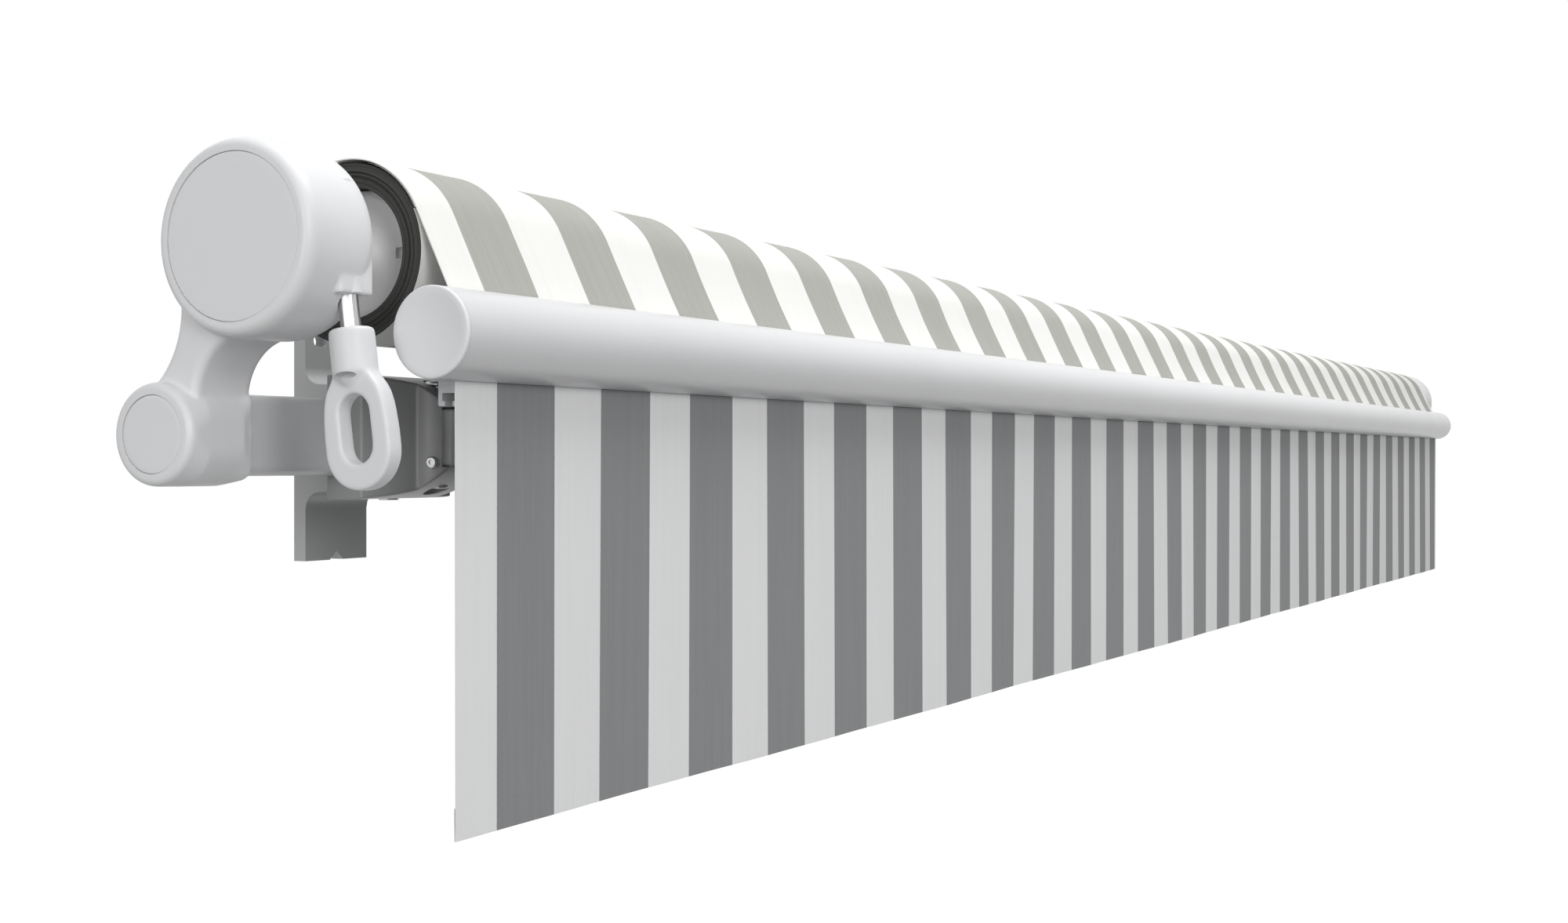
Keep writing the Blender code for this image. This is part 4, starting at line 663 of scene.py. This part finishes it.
def make_cloth_roll():
    """The wound cloth: its striped outer turn with the step where it ends, and its wound ends."""
    outer = ROLL_RADIUS - 0.0015
    start = leaving_angle()
    steps = 128
    angles = [start + 2 * math.pi * i / steps for i in range(steps + 1)]
    radii = [outer - CLOTH_LAYER * (1 - i / steps) for i in range(steps + 1)]
    stations = spread(-HALF_CLOTH, HALF_CLOTH, 60)
    lines = [outer * (angle - start) for angle in angles]

    def shape(x, step):
        y = ROLLER_Y + radii[step] * math.cos(angles[step])
        return (x, y, ROLLER_Z + radii[step] * math.sin(angles[step]))

    turn = cloth_grid("roll_outer_turn", stations, lines, shape, thickness=0.0)
    # Painted light: the roll's outer turn gets the paler, top-lit yarns.
    finish = striped_cloth("cloth_roll_turn", painted_toplight=True)
    settle(turn, finish, "roller_body", ["cloth_roll"])
    # Painted shade: the roll's ends are painted near black for the shadow between the heads and the
    # roll.
    ends = wound_edge_painted_shade("cloth_roll_end_painted_shade")
    ridges = 12
    for side_name, side in SIDES.items():
        profile = [(ROLLER_RADIUS + 0.0003, -0.05), (ROLLER_RADIUS + 0.0003, -0.0012)]
        for i in range(1, ridges):
            radius = ROLLER_RADIUS + (outer - 0.0012 - ROLLER_RADIUS) * i / ridges
            height = -0.0010 + 0.0006 * math.sin(i * 2.4) - (0.0005 if i % 2 else 0.0)
            profile += [(radius - 0.0004, height), (radius + 0.0004, height)]
        profile += [(outer - 0.0014, -0.0002), (outer - 0.0014, -0.05)]
        centre = (side * HALF_CLOTH, ROLLER_Y, ROLLER_Z)
        end = turned(f"{side_name}_roll_end", profile, centre, (side, 0, 0), 96)
        smooth_shading(end, 40)
        settle(end, ends, "roller_body")


# End castings


def quarter_ellipse(centre, across, along, start, steps):
    """Points of a quarter of an ellipse from an angle in degrees, turning clockwise."""
    turns = (math.radians(start - 90 * i / steps) for i in range(steps + 1))
    return [(centre[0] + across * math.cos(t), centre[1] + along * math.sin(t)) for t in turns]


def angle_of(vector):
    """The direction of a flat vector in degrees."""
    return math.degrees(math.atan2(vector[1], vector[0]))


def tangent_curve(first, first_radius, second, second_radius, curve, side, steps):
    """The arc that runs smoothly from one circle to another, on the given side of their line."""
    line = second - first
    reach_first = first_radius + curve
    reach_second = second_radius + curve
    along = (reach_first**2 - reach_second**2 + line.length_squared) / (2 * line.length)
    across = math.sqrt(reach_first**2 - along**2)
    forward = line.normalized()
    centre = first + forward * along + Vector((-forward.y, forward.x)) * side * across
    start = angle_of(first - centre)
    turn = (angle_of(second - centre) - start + 180) % 360 - 180
    return arc(centre, curve, start, start + turn, steps)


def neck_outline(inset):
    """Side view of the neck between head and boss, drawn in by an even inset all round."""
    head, boss = Vector((ROLLER_Y, ROLLER_Z)), Vector((TUBE_Y, 0.0))
    head_radius, boss_radius = HEAD_RADIUS - 0.002 - inset, BOSS_RADIUS - 0.002 - inset
    back = tangent_curve(head, head_radius, boss, boss_radius, NECK_BACK_CURVE + inset, 1, 16)
    front = tangent_curve(head, head_radius, boss, boss_radius, NECK_FRONT_CURVE + inset, -1, 16)
    front.reverse()
    boss_start = angle_of(Vector(back[-1]) - boss)
    boss_turn = (angle_of(Vector(front[0]) - boss) - boss_start) % -360
    head_start = angle_of(Vector(front[-1]) - head)
    head_turn = (angle_of(Vector(back[0]) - head) - head_start) % -360
    around_boss = arc(boss, boss_radius, boss_start, boss_start + boss_turn, 20)[1:-1]
    around_head = arc(head, head_radius, head_start, head_start + head_turn, 40)[1:-1]
    return back + around_boss + front + around_head


def make_neck(side_name, side):
    """The neck between the head and the tube's boss, with rounded flanks."""
    near, far, bend = CARRIER_FACE - 0.009, CARRIER_INNER + 0.0045, 0.005
    quarter = quarter_ellipse((0.0, 0.0), bend, bend, 90, 5)
    rings = [(near - bend + height, bend - radius) for radius, height in quarter]
    rings += [(far + bend - height, bend - radius) for radius, height in reversed(quarter)]
    points = [[Vector((side * x, y, z)) for y, z in neck_outline(inset)] for x, inset in rings]
    return loft(f"{side_name}_neck", points)


def head_profile():
    """Half of a head's section, from its face inwards."""
    face = (HEAD_RADIUS - HEAD_ROUNDING, -HEAD_ROUNDING_DEPTH)
    inner = (HEAD_RADIUS - HEAD_TAPER, HEAD_TAPER_DEPTH - CARRIER_DEPTH)
    return [
        (0.0, 0.0),
        *quarter_ellipse(face, HEAD_ROUNDING, HEAD_ROUNDING_DEPTH, 90, 10),
        *quarter_ellipse(inner, HEAD_TAPER, HEAD_TAPER_DEPTH, 0, 10),
        (0.0, -CARRIER_DEPTH),
    ]


def make_sleeve(side_name, side):
    """The socket round the tube: round at the face, squarer inwards and chamfered at its end."""
    shapes = []
    for angle in range(0, 91, 15):
        depth = 0.005 * (1 - math.cos(math.radians(angle)))
        radius = BOSS_RADIUS - 0.004 * (1 - math.sin(math.radians(angle)))
        shapes.append((depth, radius, radius))
    shapes += [
        (0.0165, BOSS_RADIUS, BOSS_CORNER),
        (SLEEVE_LENGTH - 0.011, BOSS_RADIUS, BOSS_CORNER),
        (SLEEVE_LENGTH, 0.0275, 0.0085),
    ]
    rings = []
    for depth, half, corner in shapes:
        x = side * (CARRIER_FACE - depth)
        corner = min(corner, half * 0.999)
        outline = rounded_rectangle((TUBE_Y, 0.0), 2 * half, 2 * half, corner, 12)
        rings.append([Vector((x, y, z)) for y, z in outline])
    return loft(f"{side_name}_sleeve", rings)


def worm_point(distance):
    """A point on the crank shaft's axis, at a distance down from the worm."""
    toward = Vector((0.0, math.cos(WORM_TILT), -math.sin(WORM_TILT)))
    down = Vector((0.0, -math.sin(WORM_TILT), -math.cos(WORM_TILT)))
    return Vector((-WORM_X, ROLLER_Y, ROLLER_Z)) - toward * WORM_DISTANCE + down * distance


WORM_DOWN = worm_point(1.0) - worm_point(0.0)


def peg(name, start, end, radius, steps=48):
    """A round bar along the crank shaft's axis."""
    profile = [(0.0, start), (radius, start), (radius, end), (0.0, end)]
    return turned(name, profile, worm_point(0.0), WORM_DOWN, steps)


def head_cavity():
    """Half of the section of the room inside a head, with the bearing boss left standing."""
    floor = -(COVER_RECESS + 0.0055)
    boss, boss_tip, bore = 0.014, floor - 0.020, 0.0084
    inner, mouth = HEAD_RADIUS - 0.004, HEAD_RADIUS - HEAD_TAPER - 0.004
    return [
        (0.0, floor - 0.002),
        (bore, floor - 0.002),
        (bore, boss_tip),
        (boss, boss_tip),
        (boss, floor),
        (inner, floor),
        (inner, HEAD_TAPER_DEPTH - CARRIER_DEPTH),
        (mouth, HEAD_TAPER_DEPTH / 4 - CARRIER_DEPTH),
        (mouth, -CARRIER_DEPTH - 0.004),
        (0.0, -CARRIER_DEPTH - 0.004),
    ]


def cover_recess(radius):
    """Half of the section of the recess that a cover lies in."""
    wall = radius + 0.00015
    return [(0.0, -COVER_RECESS), (wall, -COVER_RECESS), (wall, 0.004), (0.0, 0.004)]


def worm_housing():
    """The block on the left head's inner side that the worm sits in."""
    front, back = ROLLER_Y - HOUSING_FRONT, ROLLER_Y - HOUSING_FRONT / 2
    bottom = ROLLER_Z - HOUSING_DROP
    outline = [(front, bottom), (back, bottom), (back, ROLLER_Z), (front, ROLLER_Z)]
    near, far = -(CARRIER_INNER + HOUSING_DEPTH), -(CARRIER_INNER + 0.0012)
    return prism("worm_housing_block", outline, "X", near, far)


def cut_worm_room(casting):
    """The worm's pocket, the bosses of its shaft and the bore through them."""
    boss, bore = 0.009, 0.0064
    worm_pocket = peg("worm_pocket", -0.0170, 0.0170, 0.0122)
    cut(casting, worm_pocket, peg("pocket_ends", -0.0219, 0.0219, boss))
    upper_boss = peg("upper_shaft_boss", -0.0295, -0.0225, boss)
    join(casting, upper_boss, peg("lower_shaft_boss", 0.0225, 0.038, boss))
    cut(casting, peg("shaft_bore", -0.0275, 0.048, bore))


def make_carrier(side_name, side):
    """A head casting: rounded outer skin first, then its cavity, socket and recesses cut crisp."""
    outward = (side, 0.0, 0.0)
    head = (side * CARRIER_FACE, ROLLER_Y, ROLLER_Z)
    boss = (side * CARRIER_FACE, TUBE_Y, 0.0)
    casting = turned(f"{side_name}_head_casting", head_profile(), head, outward, 144)
    join(casting, make_neck(side_name, side), make_sleeve(side_name, side))
    if side_name == "left":
        join(casting, worm_housing())
    cast_round(casting, 0.0011, 5)
    deep, open_end = CARRIER_FACE - 0.018, CARRIER_FACE - SLEEVE_LENGTH - 0.006
    cut(
        casting,
        turned("cavity", head_cavity(), head, outward, 96),
        turned("head_recess", cover_recess(HEAD_COVER_RADIUS), head, outward, 144),
        turned("tube_recess", cover_recess(BOSS_COVER_RADIUS), boss, outward, 96),
        prism("socket", tube_hole(), "X", *sorted((side * deep, side * open_end))),
    )
    if side_name == "left":
        cut_worm_room(casting)
    smooth_shading(casting, 38)
    settle(casting, FINISHES["white_cast"], "root", [f"{side_name}_carrier"])


def make_cover(side_name, side, name, y, z, radius):
    """A moulded disc let into a casting's face, slightly crowned, with a rounded rim."""
    thickness, rounding = 0.0025, 0.0010
    profile = [
        (0.0, thickness),
        (radius * 0.86, thickness - 0.0001),
        (radius * 0.90, thickness - 0.0001),
        (radius - 0.0013, thickness - 0.0003),
        *quarter_ellipse((radius - rounding, 0.0012), rounding, rounding, 90, 5),
        (radius, 0.0),
        (0.0, 0.0),
    ]
    seat = (side * (CARRIER_FACE - COVER_RECESS + 0.0003), y, z)
    cover = turned(f"{side_name}_{name}_disc", profile, seat, (side, 0, 0), 128)
    smooth_shading(cover, 35)
    settle(cover, FINISHES["white_plastic"], "root", [f"{side_name}_{name}"])


def make_plug(side_name, side):
    """The flanged plug in the roller's end, with its notch and the drive's square or pin."""
    tube_end = HALF_CLOTH - ROLLER_INSET
    neck, neck_radius = CARRIER_INNER - 0.006 - tube_end, 0.012
    inner, rim = ROLLER_RADIUS - 0.0018, ROLLER_RADIUS - 0.0003
    top = [(0.0, neck)]
    if side_name == "right":
        reach, pin = CARRIER_FACE - COVER_RECESS - 0.0081 - tube_end, 0.008
        top = [(0.0, reach), (pin - 0.001, reach), (pin, reach - 0.001), (pin, neck)]
    profile = top + [
        (neck_radius, neck),
        (neck_radius, 0.0105),
        (0.0128, 0.0092),
        (0.0200, 0.0048),
        (0.0220, 0.0040),
        (rim - 0.0070, 0.0036),
        (rim - 0.0060, 0.0040),
        *quarter_ellipse((rim - 0.0014, 0.0026), 0.0014, 0.0014, 90, 5),
        (rim, 0.0003),
        (inner, 0.0003),
        (inner, -0.045),
        (0.0, -0.045),
    ]
    centre = (side * tube_end, ROLLER_Y, ROLLER_Z)
    plug = turned(f"{side_name}_plug_moulding", profile, centre, (side, 0, 0), 128)
    if side_name == "left":
        square = rounded_rectangle((ROLLER_Y, ROLLER_Z), 0.012, 0.012, 0.0008, 3)
        join(plug, prism("drive_square", square, "X", -WORM_X - 0.0034, -tube_end - 0.004))
    notch_middle = (ROLLER_Y - ROLLER_RADIUS + 0.007, ROLLER_Z)
    notch = rounded_rectangle(notch_middle, 0.018, 0.007, 0.0012, 4)
    ends = sorted((side * (tube_end + 0.001), side * (tube_end + 0.012)))
    cut(plug, prism("plug_notch", notch, "X", *ends))
    smooth_shading(plug, 35)
    settle(plug, FINISHES["grey_plastic"], "roller_body", [f"{side_name}_roller_plug"])


# Crank eye


def eye_point(width, distance, depth=0.0):
    """A point of the eye: across it, down the shaft and through its thickness."""
    forward = Vector((0.0, -math.cos(WORM_TILT), math.sin(WORM_TILT)))
    return worm_point(distance) + forward * width + Vector((depth, 0.0, 0.0))


def eye_plate(name, outline, start, end):
    """A plate in the plane of the eye, between two depths."""
    rings = [[eye_point(across, down, depth) for across, down in outline] for depth in (start, end)]
    return loft(name, rings)


def make_crank_eye():
    """The cast eye: a round shank that widens into a loop with thick, rounded limbs."""
    top, length, width, thickness = 0.058, 0.0957, 0.0475, 0.0128
    end, half, radius = top + length, width / 2, 0.0135
    neck_end, body_end = top + 0.027, top + 0.037
    shank = radius * 0.93
    flank = [(shank, -0.006), (shank, -0.001), (0.0150, 0.003), (0.0185, 0.008), (0.0208, 0.013)]
    flank += [(0.0223, 0.019), (0.0231, 0.026), (half, 0.034)]
    flank = [(across, neck_end + down) for across, down in flank]
    loop = [(-across, down) for across, down in flank]
    loop += [(u, end - half + v) for u, v in arc((0.0, 0.0), half, 180, 0, 36)]
    loop += list(reversed(flank))
    profile = [(0.0, body_end), (thickness / 2, body_end - 0.001), (radius, neck_end)]
    profile += [(radius, top + 0.0015), (radius - 0.0015, top), (0.0, top)]
    eye = turned("crank_eye_casting", profile, worm_point(0.0), WORM_DOWN, 64)
    join(eye, eye_plate("eye_loop", loop, -thickness / 2, thickness / 2))
    slot_half, slot_end = half - 0.0127, end - 0.0155
    slot_top = slot_end - 0.0412
    slot = arc((0.0, slot_end - slot_half), slot_half, 0, 180, 20)
    slot += arc((0.0, slot_top + slot_half), slot_half, 180, 360, 20)
    cut(eye, eye_plate("eye_slot", slot, -0.025, 0.025))
    cast_round(eye, 0.0006, 70)
    turns = [step / 5 for step in range(31)]
    dimple = [(0.0078 * math.cos(t), slot_top - 0.0105 + 0.0022 * math.sin(t)) for t in turns]
    for side in (-1, 1):
        cut(eye, eye_plate("dimple", dimple, side * 0.0042, side * 0.02))
    cut(eye, peg("eye_bore", top - 0.005, top + 0.020, 0.0063))
    smooth_shading(eye, 40)
    settle(eye, FINISHES["white_plastic"], "crank_body", ["crank_eye"])


# Front bar


def bar_groove(name, angle):
    """The round channel for a keder rod, with its slit to the outside."""
    outward = Vector((math.cos(angle), math.sin(angle)))
    across = Vector((-outward.y, outward.x)) * CHANNEL_HALF_SLIT
    centre = Vector((BAR_Y, BAR_Z)) + outward * CHANNEL_REACH
    opening = math.degrees(math.asin(CHANNEL_HALF_SLIT / CHANNEL_RADIUS))
    turn = math.degrees(angle)
    outline = arc(centre, CHANNEL_RADIUS, turn + opening, turn + 360 - opening, 24)
    outline += [tuple(centre + outward * 0.0095 + across * sign) for sign in (-1, 1)]
    return prism(name, outline, "X", -BAR_END - 0.01, BAR_END + 0.01)


def make_shoulder(side_name, side):
    """A shoulder casting: lips over the tube, a web, and a barrel rounded off at its front."""
    pivot = (SHOULDER_X, SHOULDER_Y)
    inner, outer, lip_inner = SHOULDER_X - 0.038, SHOULDER_X + 0.056, SHOULDER_X + 0.016
    back, lip, cheek = TUBE_FRONT + 0.002, TUBE_FRONT + 0.017, TUBE_FRONT - 0.01325
    plan = [
        (inner, back),
        (inner, cheek),
        (SHOULDER_X - SHOULDER_BARREL, cheek),
        *arc(pivot, SHOULDER_BARREL, 180, 360, 40),
        (outer, cheek + 0.00125),
        (outer, lip),
        (lip_inner, lip),
        (lip_inner, back),
    ]
    half, skin = SHOULDER_HALF_HEIGHT, 0.0002

    def block(name, outline, start, end):
        return prism(name, [(side * x, y) for x, y in outline], "Z", start, end)

    casting = block(f"{side_name}_shoulder_casting", plan, -half, half)
    front = SHOULDER_Y - SHOULDER_BARREL - skin
    corner = (front + NOSE_LENGTH, NOSE_HEIGHT - half + skin)
    nose = quarter_ellipse(corner, NOSE_LENGTH, NOSE_HEIGHT, 270, 24)
    upper = [(y, -z) for y, z in reversed(nose)]
    side_view = [(lip + 0.002, skin - half), *nose, *upper, (lip + 0.002, half - skin)]
    low, high = sorted((side * (outer + 0.01), side * (inner - 0.01)))
    boolean(casting, prism("nose", side_view, "X", low, high), "INTERSECT")
    cast_round(casting, 0.0009, 5)
    pocket = arc(pivot, 0.019, 316, 450, 24)
    pocket += [(SHOULDER_X - 0.076, SHOULDER_Y + 0.019), *arc(pivot, 0.057, 210, 316, 12)]
    seat, seat_depth, past = circle(pivot, 0.0098, 48), 0.034, half + 0.01
    cut(
        casting,
        block("arm_pocket", pocket, -0.0196, 0.0196),
        prism("tube_saddle", tube_hole(), "X", low, high),
        block("pin_bore", circle(pivot, 0.0064, 40), -past, past),
        block("upper_pin_seat", seat, seat_depth, past),
        block("lower_pin_seat", seat, -past, -seat_depth),
    )
    smooth_shading(casting, 38)
    # Painted shade: the white casting takes the dark grey finish for the shade it sits in.
    settle(casting, SHOULDER_SHADE_FINISH, "root", [f"{side_name}_shoulder"])


def make_shoulder_screw(side_name, side):
    """The socket screw that locks a shoulder's pitch, in the side of its barrel."""
    profile = [(0.0, 0.0012), (0.0016, 0.0012), (0.0016, 0.0026), (0.0030, 0.0026)]
    profile += [(0.0037, 0.0019), (0.0037, -0.003), (0.0, -0.003)]
    seat, outward = (side * 1.6612, -0.1235, -0.0165), (side, -0.25, 0)
    screw = turned(f"{side_name}_pitch_screw", profile, seat, outward, 40)
    smooth_shading(screw, 35)
    settle(screw, FINISHES["steel"], "root")


def make_cloth_keder():
    """The rod in the cloth's edge that holds it in the bar's upper channel."""
    y = BAR_Y + CHANNEL_REACH * math.cos(GROOVE_ANGLE)
    z = BAR_Z + CHANNEL_REACH * math.sin(GROOVE_ANGLE)
    outline = circle((y, z), KEDER_RADIUS, 32)
    rod = prism("cloth_keder_rod", outline, "X", -HALF_CLOTH, HALF_CLOTH)
    smooth_shading(rod, 35)
    settle(rod, FINISHES["grey_plastic"], "front_bar_body", ["cloth_keder"])


def rail_outline():
    """Section of the slotted rail under the bar that the arms' front joints hold."""
    middle, bottom, top = BAR_Y + 0.014, BAR_Z - BAR_RADIUS - 0.015, BAR_Z - 0.018
    half_width, half_slot, half_room = 0.008, 0.003, 0.005
    lip, roof, corner = bottom + 0.003, bottom + 0.008, 0.0012
    turn = half_width - corner
    return [
        (middle - half_width, top),
        *arc((middle - turn, bottom + corner), corner, 180, 270, 3),
        (middle - half_slot, bottom),
        (middle - half_slot, lip),
        (middle - half_room, lip),
        (middle - half_room, roof),
        (middle + half_room, roof),
        (middle + half_room, lip),
        (middle + half_slot, lip),
        (middle + half_slot, bottom),
        *arc((middle + turn, bottom + corner), corner, 270, 360, 3),
        (middle + half_width, top),
    ]


def make_front_bar():
    """The extruded bar with its rail and keder channels."""
    bar = prism("bar_extrusion", circle((BAR_Y, BAR_Z), BAR_RADIUS, 144), "X", -BAR_END, BAR_END)
    rail_end = BAR_END - 0.034
    join(bar, prism("bar_rail", rail_outline(), "X", -rail_end, rail_end))
    hollow = circle((BAR_Y, BAR_Z), 0.0165, 48)
    cut(
        bar,
        prism("bar_hollow", hollow, "X", -BAR_END - 0.01, BAR_END + 0.01),
        bar_groove("cloth_channel", GROOVE_ANGLE),
        bar_groove("valance_channel", math.radians(-90)),
    )
    smooth_shading(bar, 30)
    settle(bar, FINISHES["white_bar"], "front_bar_body", ["front_bar"])


def make_bar_cap(side_name, side):
    """The moulded cap in the bar's end: a raised rim, and a spigot that goes into the bar."""
    thickness, rounding, spigot, spigot_length = 0.003, 0.0014, 0.0155, 0.012
    profile = [
        (0.0, thickness - 0.0004),
        (BAR_RADIUS * 0.80, thickness - 0.0004),
        (BAR_RADIUS * 0.84, thickness),
        (BAR_RADIUS - 0.0020, thickness),
        *quarter_ellipse((BAR_RADIUS - rounding, thickness - rounding), rounding, rounding, 90, 6),
        (BAR_RADIUS, 0.0003),
        (spigot, 0.0003),
        (spigot, -spigot_length),
        (0.0, -spigot_length),
    ]
    seat = (side * BAR_END, BAR_Y, BAR_Z)
    cap = turned(f"{side_name}_cap_moulding", profile, seat, (side, 0, 0), 128)
    smooth_shading(cap, 35)
    settle(cap, FINISHES["white_plastic"], "front_bar_body", [f"{side_name}_bar_cap"])


make_cloth_panel()
make_valance()
make_cloth_roll()
for side_name, side in SIDES.items():
    make_carrier(side_name, side)
    make_cover(side_name, side, "head_cover", ROLLER_Y, ROLLER_Z, HEAD_COVER_RADIUS)
    make_cover(side_name, side, "tube_cover", TUBE_Y, 0.0, BOSS_COVER_RADIUS)
    make_plug(side_name, side)
    make_shoulder(side_name, side)
    make_shoulder_screw(side_name, side)
make_crank_eye()
make_front_bar()
for side_name, side in SIDES.items():
    make_bar_cap(side_name, side)
make_cloth_keder()


# Camera, light and background


def set_camera():
    """The photograph's viewpoint, in front of the left end and level with the awning."""
    camera = bpy.data.objects.new("camera", bpy.data.cameras.new("camera"))
    camera.data.sensor_width = 36.0
    camera.data.lens = 45.9
    camera.data.clip_start = 0.01
    camera.location = (-2.7206, -0.932, -0.016)
    heading = Vector((0.888, 0.4597, 0.0))
    camera.rotation_euler = heading.to_track_quat("-Z", "Y").to_euler()
    bpy.context.scene.collection.objects.link(camera)
    bpy.context.scene.camera = camera


def area_lamp(name, place, target, size, power):
    """A soft round lamp turned to a point of the awning."""
    lamp = bpy.data.lights.new(name, "AREA")
    lamp.shape = "DISK"
    lamp.size = size
    lamp.energy = power
    item = bpy.data.objects.new(name, lamp)
    item.location = place
    item.rotation_euler = (Vector(target) - Vector(place)).to_track_quat("-Z", "Y").to_euler()
    bpy.context.scene.collection.objects.link(item)


def seen_from_view(tree):
    """A node that is 1 to the camera, in reflections and through clear parts, and 0 to other light."""
    path = tree.nodes.new("ShaderNodeLightPath")
    camera_or_glossy = tree.nodes.new("ShaderNodeMath")
    camera_or_glossy.operation = "MAXIMUM"
    tree.links.new(path.outputs["Is Camera Ray"], camera_or_glossy.inputs[0])
    tree.links.new(path.outputs["Is Glossy Ray"], camera_or_glossy.inputs[1])
    seen = tree.nodes.new("ShaderNodeMath")
    seen.operation = "MAXIMUM"
    tree.links.new(camera_or_glossy.outputs[0], seen.inputs[0])
    tree.links.new(path.outputs["Is Transmission Ray"], seen.inputs[1])
    return seen


def set_world():
    """A background that looks white and gives only plain light."""
    plain_level, seen_level = 0.42, 1.0
    world = bpy.data.worlds.new("studio")
    bpy.context.scene.world = world
    world.use_nodes = True
    tree = world.node_tree
    seen = seen_from_view(tree)
    level = tree.nodes.new("ShaderNodeMapRange")
    level.inputs["To Min"].default_value = plain_level
    level.inputs["To Max"].default_value = seen_level
    tree.links.new(seen.outputs[0], level.inputs["Value"])
    background = tree.nodes["Background"]
    background.inputs["Color"].default_value = (1.0, 1.0, 1.0, 1.0)
    tree.links.new(level.outputs[0], background.inputs["Strength"])


def set_floor():
    """A pale floor far below, which looks white and still takes the awning's shadow."""
    reach, top, thickness = 30.0, -4.00, 0.02
    corners = [(-reach, -reach), (reach, -reach), (reach, reach), (-reach, reach)]
    floor = prism("floor", corners, "Z", top - thickness, top)
    material = bpy.data.materials.new("pale_floor")
    material.use_nodes = True
    tree = material.node_tree
    seen = seen_from_view(tree)
    shader = tree.nodes["Principled BSDF"]
    shader.inputs["Base Color"].default_value = (0.34, 0.34, 0.34, 1.0)
    shader.inputs["Roughness"].default_value = 0.9
    shader.inputs["Emission Color"].default_value = (1.0, 1.0, 1.0, 1.0)
    lift = tree.nodes.new("ShaderNodeMath")
    lift.operation = "MULTIPLY"
    lift.inputs[1].default_value = 0.85
    tree.links.new(seen.outputs[0], lift.inputs[0])
    tree.links.new(lift.outputs[0], shader.inputs["Emission Strength"])
    floor.data.materials.append(material)


set_camera()
set_world()
set_floor()
area_lamp("overhead", (-0.4, -0.9, 3.2), (0.0, -0.15, 0.0), 2.6, 94.0)
area_lamp("garden_side", (-4.3, -4.6, 1.5), (-1.0, -0.15, 0.0), 2.6, 101.0)
area_lamp("left_end", (-5.6, -0.9, 0.7), (-1.8, -0.12, 0.05), 2.0, 44.0)
bpy.context.scene.view_settings.view_transform = "Standard"
